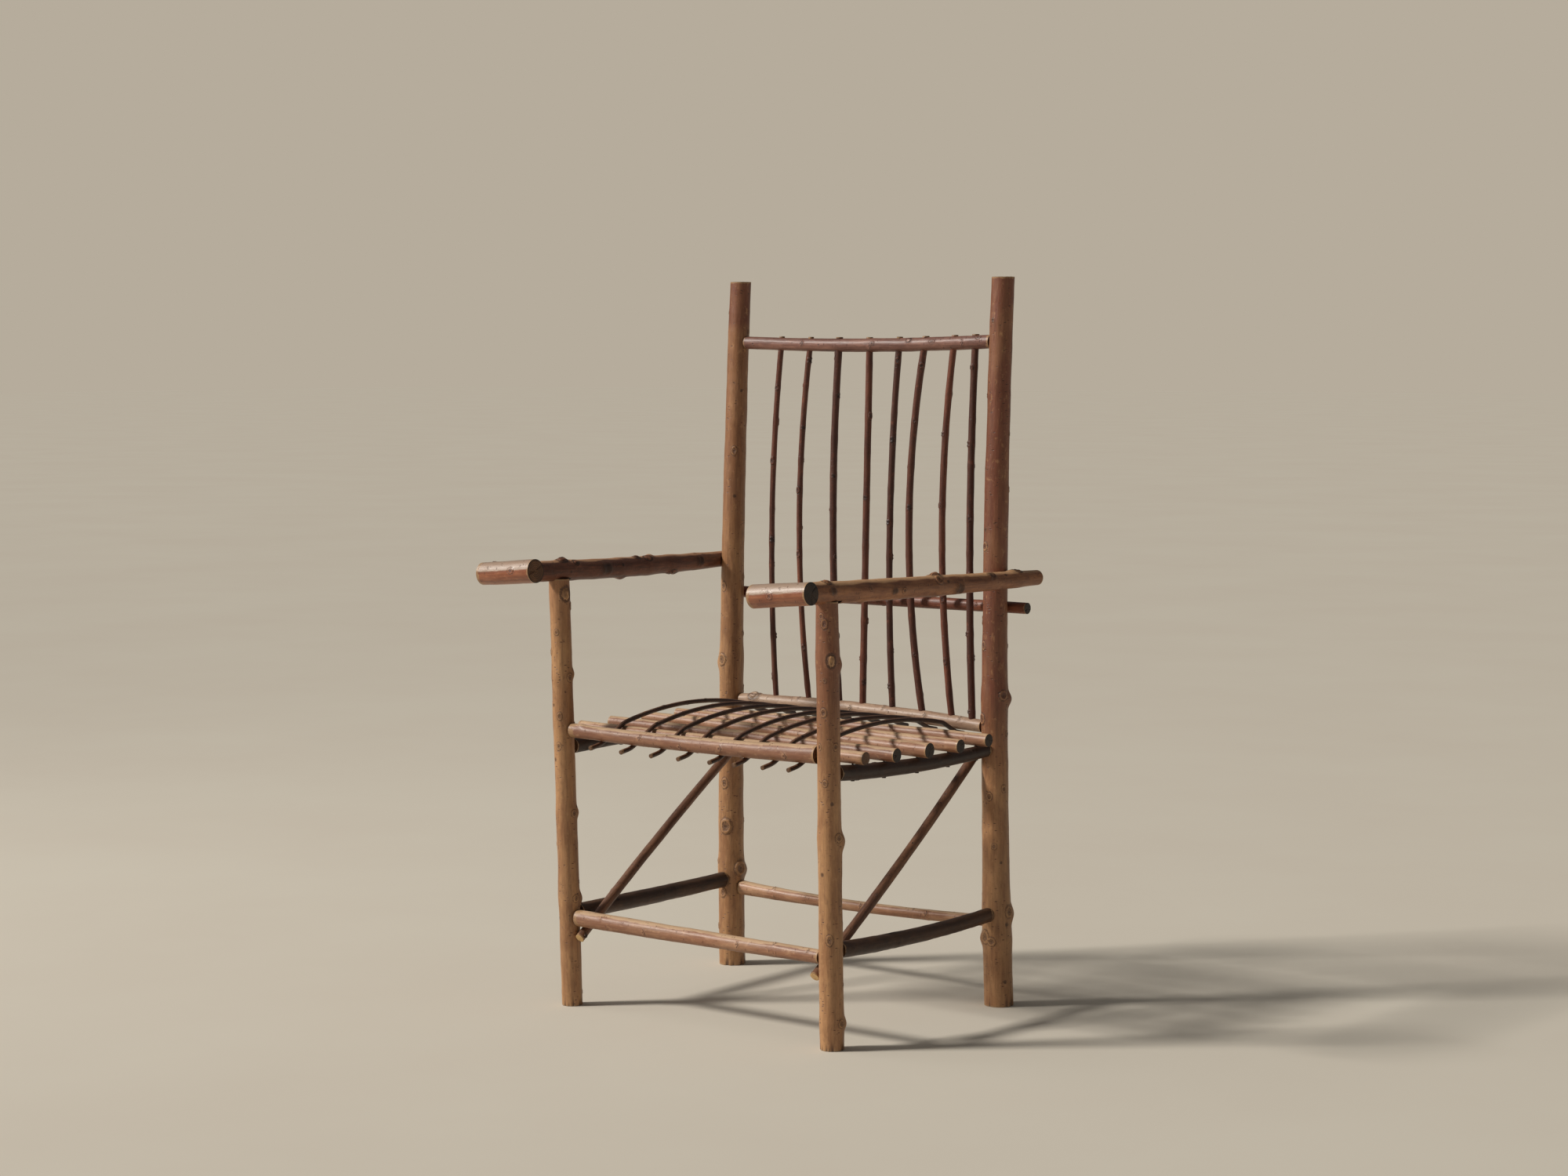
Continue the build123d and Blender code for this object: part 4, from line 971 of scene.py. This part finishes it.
def bark(name, light, middle, dark, streaks, pores, upper=None, roughness=(0.40, 0.62), coat=0.2,
         wear_and_highlight=None, wear_and_highlight_from=0.9, wear_and_highlight_share=0.8, bare_from=0.22):
    """A bark finish from three colours, with the strength of its streaks and pores. upper is
    a second middle colour. The side that faces up turns to a given paler colour from a given
    facing on: partly wear, and partly a painted highlight where the light falls on the tops.
    Up to bare_from of the end reach, the bark has chipped off the stick's end."""
    n = Nodes(name)
    patch = n.noise(n.stretched(1, 1, 0.35), 38, 3, 0.55, 0.4)
    blotch = n.noise(n.stretched(1, 1, 0.6), 140, 4, 0.6, 0.3)
    grain = n.noise(n.stretched(1, 1, 0.11), 300, 6, 0.68, 0.25)
    streak = n.noise(n.stretched(1, 1, 0.05), 95, 4, 0.6)
    base, lit = middle, light
    if upper:
        change = n.maths("ADD", n.attribute("tone"), n.maths("MULTIPLY_ADD", patch, 0.6, -0.3))
        risen = n.steps(change, (0.20, 0.0), (0.80, 1.0))
        base = n.mix(risen, middle, upper)
        lit = n.mix(n.mix(0.7, (0, 0, 0, 1), risen), light, upper)
    colour = n.mix(n.steps(patch, (0.42, 0.0), (0.66, 0.75)), base, lit)
    colour = n.mix(n.steps(streak, (0.40, streaks), (0.58, 0.0)), colour, dark)
    colour = n.mix(n.steps(grain, (0.36, 0.75 * streaks), (0.53, 0.0)), colour, dark)
    colour = n.mix(n.steps(blotch, (0.56, 0.0), (0.70, 0.45)), colour, n.mix(0.6, middle, dark))
    colour = n.mix(n.steps(blotch, (0.30, 0.4), (0.42, 0.0)), colour, light)
    # Ridge crests are mixed toward the paler colour: partly wear, and partly a painted highlight of the
    # varnish on the crests.
    crest = n.maths("MULTIPLY", n.attribute("crest"), n.steps(grain, (0.46, 0.0), (0.70, 0.45)))
    colour = n.mix(crest, colour, lit)
    # The side that faces up is painted paler: partly wear, and partly a painted highlight where the light
    # falls on the tops.
    if wear_and_highlight:
        facing = n.maths("ADD", n.attribute("top_side"), n.maths("MULTIPLY_ADD", patch, 0.5, -0.25))
        facing = n.maths("ADD", facing, n.maths("MULTIPLY_ADD", grain, 0.4, -0.2))
        rubbed_and_lit = n.steps(facing, (wear_and_highlight_from - 0.05, 0.0), (min(wear_and_highlight_from + 0.05, 1.0), wear_and_highlight_share))
        colour = n.mix(rubbed_and_lit, colour, wear_and_highlight)

    pore = n.add("TexVoronoi", feature="F1")
    pore.inputs["Scale"].default_value = 230
    n.join(n.stretched(0.45, 0.45, 1.3), pore.inputs["Vector"])
    dot = n.steps(pore.outputs["Distance"], (0.13, 1.0), (0.27, 0.0))
    chosen = n.steps(n.noise(n.stretched(1, 1, 1), 85, 2), (0.50, 0.0), (0.58, pores))
    dots = n.maths("MULTIPLY", dot, chosen)
    colour = n.mix(dots, colour, dark)

    bare = n.maths("ADD", n.attribute("to_end"), n.maths("MULTIPLY_ADD", blotch, 0.9, -0.45))
    bare = n.steps(bare, (bare_from, BARE_SHARE), (bare_from + 0.04, 0.0))
    colour = n.mix(bare, colour, n.mix(grain, rgb(120, 84, 54), rgb(206, 168, 122)))
    # The splits of a foot are painted dark, toward nearly black: painted shade inside the cracks.
    deep = n.mix(0.5, dark, NEARLY_BLACK)
    colour = n.mix(n.maths("MULTIPLY", n.attribute("split"), 0.9), colour, deep)

    lines, rim, face = knot_marks(n)
    # The rim of a knot is mixed toward the pale colour: a painted highlight on its raised collar.
    colour = n.mix(n.maths("MULTIPLY", rim, 0.5), colour, light)
    colour = n.mix(face, colour, n.mix(n.steps(grain, (0.4, 0.0), (0.6, 1.0)), dark, light))
    colour = n.mix(n.maths("MULTIPLY", lines, 0.78), colour, deep)
    n.join(colour, n.shader.inputs["Base Color"])

    shine = n.add("MapRange")
    shine.inputs["To Min"].default_value, shine.inputs["To Max"].default_value = roughness
    n.join(n.mix(0.5, patch, grain), shine.inputs["Value"])
    n.join(shine.outputs["Result"], n.shader.inputs["Roughness"])
    n.shader.inputs["Coat Weight"].default_value = coat
    n.shader.inputs["Coat Roughness"].default_value = 0.28

    rough = n.bump(n.mix(0.45, grain, blotch), 1.1 * MM, 0.9)
    sunk = n.maths("ADD", n.maths("MULTIPLY", dots, -1.0), n.maths("MULTIPLY", lines, -1.2))
    n.join(n.bump(sunk, 0.5 * MM, 0.9, rough), n.shader.inputs["Normal"])
    return n.material


print("bark builder ready")

# %% The barks of the chair
finishes = {
    # The paler colours given below for the upward sides are wear together with a painted highlight on the
    # tops.
    "tan_bark": bark("tan_bark", rgb(199, 152, 105), rgb(164, 116, 76), rgb(82, 50, 33), 0.26, 0.9,
                     upper=rgb(122, 68, 46)),
    "red_bark": bark("red_bark", rgb(181, 121, 86), rgb(146, 83, 52), rgb(84, 43, 29), 0.36, 0.8,
                     roughness=(0.32, 0.48), coat=0.3, wear_and_highlight=rgb(170, 149, 130), wear_and_highlight_from=0.18,
                     bare_from=0.30),
    "dark_bark": bark("dark_bark", rgb(93, 62, 44), rgb(58, 37, 26), rgb(26, 16, 11), 0.5, 0.4,
                      upper=rgb(47, 30, 22), coat=0.06),
    "pale_bark": bark("pale_bark", rgb(204, 161, 124), rgb(164, 115, 84), rgb(94, 57, 41), 0.32, 0.7,
                      upper=rgb(140, 94, 70), coat=0.12, wear_and_highlight=rgb(214, 184, 148), wear_and_highlight_from=0.76,
                      wear_and_highlight_share=0.65, bare_from=0.3),
    "back_rail": bark("whitish_bark", rgb(198, 170, 144), rgb(168, 136, 112), rgb(96, 66, 50), 0.26, 0.7,
                      coat=0.1),
    "right_arm": bark("right_arm_bark", rgb(185, 129, 88), rgb(142, 91, 61), rgb(62, 35, 24), 0.40, 0.6,
                      wear_and_highlight=rgb(208, 163, 119), wear_and_highlight_from=0.78, coat=0.1),
    "left_arm": bark("left_arm_bark", rgb(148, 96, 70), rgb(109, 64, 46), rgb(43, 25, 18), 0.48, 0.6,
                     wear_and_highlight=rgb(194, 146, 108), wear_and_highlight_from=0.84, coat=0.1),
    "spindle": bark("spindle_bark", rgb(140, 80, 54), rgb(100, 50, 32), rgb(42, 20, 14), 0.42, 0.4,
                    upper=rgb(76, 38, 25), coat=0.08),
    "top_rail": bark("top_rail_bark", rgb(158, 113, 96), rgb(121, 79, 66), rgb(60, 36, 31), 0.34, 0.7,
                     roughness=(0.42, 0.58), coat=0.12),
    "middle_rail": bark("middle_rail_bark", rgb(163, 100, 72), rgb(122, 68, 47), rgb(54, 29, 22), 0.4, 0.6,
                        coat=0.08),
    "brace": bark("brace_bark", rgb(148, 104, 75), rgb(103, 68, 48), rgb(47, 29, 22), 0.4, 0.7, coat=0.1),
    "side_stretcher": bark("side_stretcher_bark", rgb(101, 70, 47), rgb(66, 43, 30), rgb(31, 19, 13),
                           0.45, 0.6, coat=0.05),
    "rod": bark("rod_bark", rgb(97, 64, 47), rgb(62, 38, 28), rgb(26, 16, 12), 0.42, 0.4,
                roughness=(0.36, 0.52), coat=0.12, wear_and_highlight=rgb(134, 96, 74), wear_and_highlight_from=0.70, wear_and_highlight_share=0.6,
                upper=rgb(45, 28, 22)),
}
look_of = {"back_seat_rail": "back_rail", "top_rail": "top_rail", "mid_back_rail": "middle_rail"}
look_of.update({f"arm_{s}": f"{s}_arm" for s in SIDES})
look_of.update({f"brace_{s}": "brace" for s in SIDES})
look_of.update({f"lower_side_stretcher_{s}": "side_stretcher" for s in SIDES})
look_of.update({f"spindle_{i}": "spindle" for i in range(1, 9)})
look_of.update({f"seat_twig_{i}": "rod" for i in range(1, 9)})
print(len(finishes), "barks")

# %% [markdown]
# ## The finish of a sawn end
#
# A sawn end shows yearly rings round the pith, a soft pale band and a harder darker one for
# each year, with the bark as a thin dark line at the rim. The rings read the stored share of
# the way from the pith, bent a little by noise, since no tree grows perfectly round. Old ends
# have turned nearly black with varnish and handling, and the braces' ends are still pale.

# %% The cut-wood builder
def cut_wood(name, early, late, rim, rings, dirt, bark_from=0.88):
    """A sawn face from the colours of its soft and hard bands and its rim, with so many rings
    and so much dirt. Beyond bark_from of the way from the pith it is the rim's colour."""
    n = Nodes(name)
    share = n.attribute("from_pith")
    wobble = n.noise(n.stretched(1, 1, 1), 120, 3)
    radius = n.maths("MULTIPLY_ADD", wobble, 0.10, share)
    wave = n.maths("SINE", n.maths("MULTIPLY", radius, rings * FULL_TURN))
    band = n.steps(n.maths("MULTIPLY_ADD", wave, 0.5, 0.5), (0.25, early), (0.85, late))
    fibre, grime = n.noise(n.stretched(1, 1, 1), 900, 3), n.noise(n.stretched(1, 1, 1), 75, 4)
    colour = n.mix(n.steps(fibre, (0.35, 0.5), (0.62, 0.0)), band, late)
    colour = n.mix(n.steps(share, (0.0, 0.8), (0.07, 0.0)), colour, rim)
    colour = n.mix(n.steps(grime, (0.36, dirt), (0.62, dirt * 0.35)), colour, rim)
    colour = n.mix(n.steps(share, (bark_from, 0.0), (bark_from + 0.05, 1.0)), colour, rim)
    n.join(colour, n.shader.inputs["Base Color"])
    n.join(n.steps(fibre, (0.3, 0.72), (0.7, 0.5)), n.shader.inputs["Roughness"])
    n.shader.inputs["Coat Weight"].default_value = 0.15
    n.shader.inputs["Coat Roughness"].default_value = 0.4
    sawn = n.bump(fibre, 0.2 * MM, 0.6)
    n.join(n.bump(wave, 0.12 * MM, 0.5, sawn), n.shader.inputs["Normal"])
    return n.material


print("cut-wood builder ready")

# %% The cut woods of the chair
cuts = {
    "fresh": cut_wood("pale_cut_wood", rgb(238, 206, 150), rgb(212, 168, 108), rgb(110, 70, 42), 4, 0.08,
                      bark_from=0.94),
    "aged": cut_wood("aged_cut_wood", rgb(146, 106, 68), rgb(100, 66, 42), rgb(44, 26, 18), 6, 0.55),
    "black": cut_wood("blackened_cut_wood", rgb(84, 60, 42), rgb(50, 34, 25), rgb(20, 13, 10), 6, 0.8),
}
cut_of = {name: "aged" for name in kinds}
cut_of.update({f"brace_{s}": "fresh" for s in SIDES})
cut_of.update({f"seat_log_{i}": "black" for i in range(2, 6)})
cut_of.update({name: "black" for name in ("arm_right", "arm_left", "hand_grip_right", "mid_back_rail")})
print(len(cuts), "cut woods")

# %% Nails and pegs
def wire(name, colour, rust):
    """Dull steel wire, a little rusted."""
    n = Nodes(name)
    spots = n.noise(n.object_place(), 700, 5)
    n.join(n.mix(n.steps(spots, (0.45, 0.0), (0.66, 0.9)), colour, rust), n.shader.inputs["Base Color"])
    n.join(n.steps(spots, (0.4, 0.38), (0.7, 0.75)), n.shader.inputs["Roughness"])
    n.shader.inputs["Metallic"].default_value = 0.85
    n.join(n.bump(spots, 0.1 * MM, 0.5), n.shader.inputs["Normal"])
    return n.material


def peg_wood(name):
    """Split, shaved wood for the hidden pegs, with the grain along their length."""
    n = Nodes(name)
    grain = n.noise(n.scaled(n.object_place(), (0.12, 1, 1)), 600, 5)
    colour = n.steps(grain, (0.35, rgb(150, 108, 70)), (0.65, rgb(188, 148, 102)))
    n.join(colour, n.shader.inputs["Base Color"])
    n.join(n.steps(grain, (0.3, 0.6), (0.7, 0.45)), n.shader.inputs["Roughness"])
    n.join(n.bump(grain, 0.1 * MM, 0.5), n.shader.inputs["Normal"])
    return n.material


def finish_solid(name, material):
    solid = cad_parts[name]
    solid.data.materials.clear()
    solid.data.materials.append(material)
    return solid


steel = wire("iron_nail", rgb(70, 66, 62), rgb(78, 44, 28))
for name in ("brace_nails", "mid_rail_nails", "seat_log_nails"):
    solid = finish_solid(name, steel)
finish_solid("arm_dowels", peg_wood("peg_wood"))
print("nails and pegs finished")

# %% [markdown]
# ## Each skin takes its place
#
# Every skin stands for one solid. It hides that solid, rides on the chair's one body, and
# takes its finishes from the tables above. Its first material is the bark and its
# second the cut wood, and each face already knows which of the two it is.

# %% Hand the skins to the frame
for name, piece in pieces.items():
    wood = kinds[name]["wood"]
    piece.data.materials.append(finishes[look_of.get(name, wood)])
    piece.data.materials.append(cuts[cut_of[name]])
    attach(piece, "root")
    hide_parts(name)
print(len(pieces), "skins ride on the chair")

# %% [markdown]
# ## Floor, lamps and camera
#
# The chair stands on a plain pale floor. A wide sun from the left and a little in front shapes
# the round sticks, as a tall window would. A large lamp on the same side gives the varnish its
# long soft highlights. The world adds a little even light, and the camera sees it as a pale
# backdrop.

# %% Floor and world
FLOOR_HALF = 60.0  # metres, so far out that its edge looks like the horizon
floor_mesh = bpy.data.meshes.new("floor")
corners = [(x * FLOOR_HALF, y * FLOOR_HALF, 0) for x, y in ((-1, -1), (1, -1), (1, 1), (-1, 1))]
floor_mesh.from_pydata(corners, [], [(0, 1, 2, 3)])
floor = put_in_scene("floor", floor_mesh)
ground = Nodes("pale_floor")
cloud = ground.noise(ground.object_place(), 1.3, 4)
ground.join(ground.steps(cloud, (0.35, rgb(214, 206, 192)), (0.65, rgb(216, 209, 195))),
            ground.shader.inputs["Base Color"])
ground.shader.inputs["Roughness"].default_value = 0.95
ground.shader.inputs["Specular IOR Level"].default_value = 0.1
floor_mesh.materials.append(ground.material)

world = bpy.data.worlds.new("studio")
bpy.context.scene.world = world
world.use_nodes = True
tree = world.node_tree
tree.nodes.clear()
seen, even, paths, either, output = (
    tree.nodes.new("ShaderNode" + word)
    for word in ("Background", "Background", "LightPath", "MixShader", "OutputWorld"))
for background, colour, strength in (
        (seen, rgb(182, 172, 156), 1.0), (even, (1.0, 0.97, 0.93, 1), 0.13)):
    background.inputs["Color"].default_value = colour
    background.inputs["Strength"].default_value = strength
tree.links.new(paths.outputs["Is Camera Ray"], either.inputs[0])
tree.links.new(even.outputs[0], either.inputs[1])
tree.links.new(seen.outputs[0], either.inputs[2])
tree.links.new(either.outputs[0], output.inputs["Surface"])
print("floor and world ready")

# %% Lamps
CHAIR_MIDDLE = Vector((0, 0, 0.55))


def lamp(name, kind, place, power, colour, size):
    light = bpy.data.lights.new(name, kind)
    light.energy, light.color = power, colour
    if kind == "SUN":
        light.angle = size
    else:
        light.shape, light.size = "SQUARE", size
    lit = put_in_scene(name, light)
    lit.location = place
    lit.rotation_mode = "QUATERNION"
    lit.rotation_quaternion = (CHAIR_MIDDLE - Vector(place)).to_track_quat("-Z", "Y")


lamp("window", "SUN", (-3.3, -3.4, 4.2), 2.95, (1.0, 0.955, 0.89), math.radians(9))
lamp("panel", "AREA", (-2.6, -1.4, 2.6), 22, (1.0, 0.97, 0.93), 2.4)
print("two lamps lit")

# %% Camera
CAMERA_PLACE = Vector((2.9534, -3.6470, 0.9962))
AZIMUTH, PITCH, ROLL = (math.radians(a) for a in (38.668, 4.349, -0.164))
FOCAL_LENGTH, SENSOR_WIDTH = 71.9, 36.0  # millimetres
level = Vector((math.cos(AZIMUTH), math.sin(AZIMUTH), 0))
ahead = Vector((-math.sin(AZIMUTH), math.cos(AZIMUTH), 0))
forward = ahead * math.cos(PITCH) - UP * math.sin(PITCH)
upright = level.cross(forward)
across = level * math.cos(ROLL) + upright * math.sin(ROLL)
above = -level * math.sin(ROLL) + upright * math.cos(ROLL)
camera_data = bpy.data.cameras.new("camera")
camera_data.lens, camera_data.sensor_width = FOCAL_LENGTH, SENSOR_WIDTH
camera = put_in_scene("camera", camera_data)
turned = Matrix((across, above, -forward)).transposed().to_4x4()
camera.matrix_world = Matrix.Translation(CAMERA_PLACE) @ turned
bpy.context.scene.camera = camera
bpy.context.scene.view_settings.view_transform = "Standard"
print("camera at", [round(v, 3) for v in camera.matrix_world.translation])
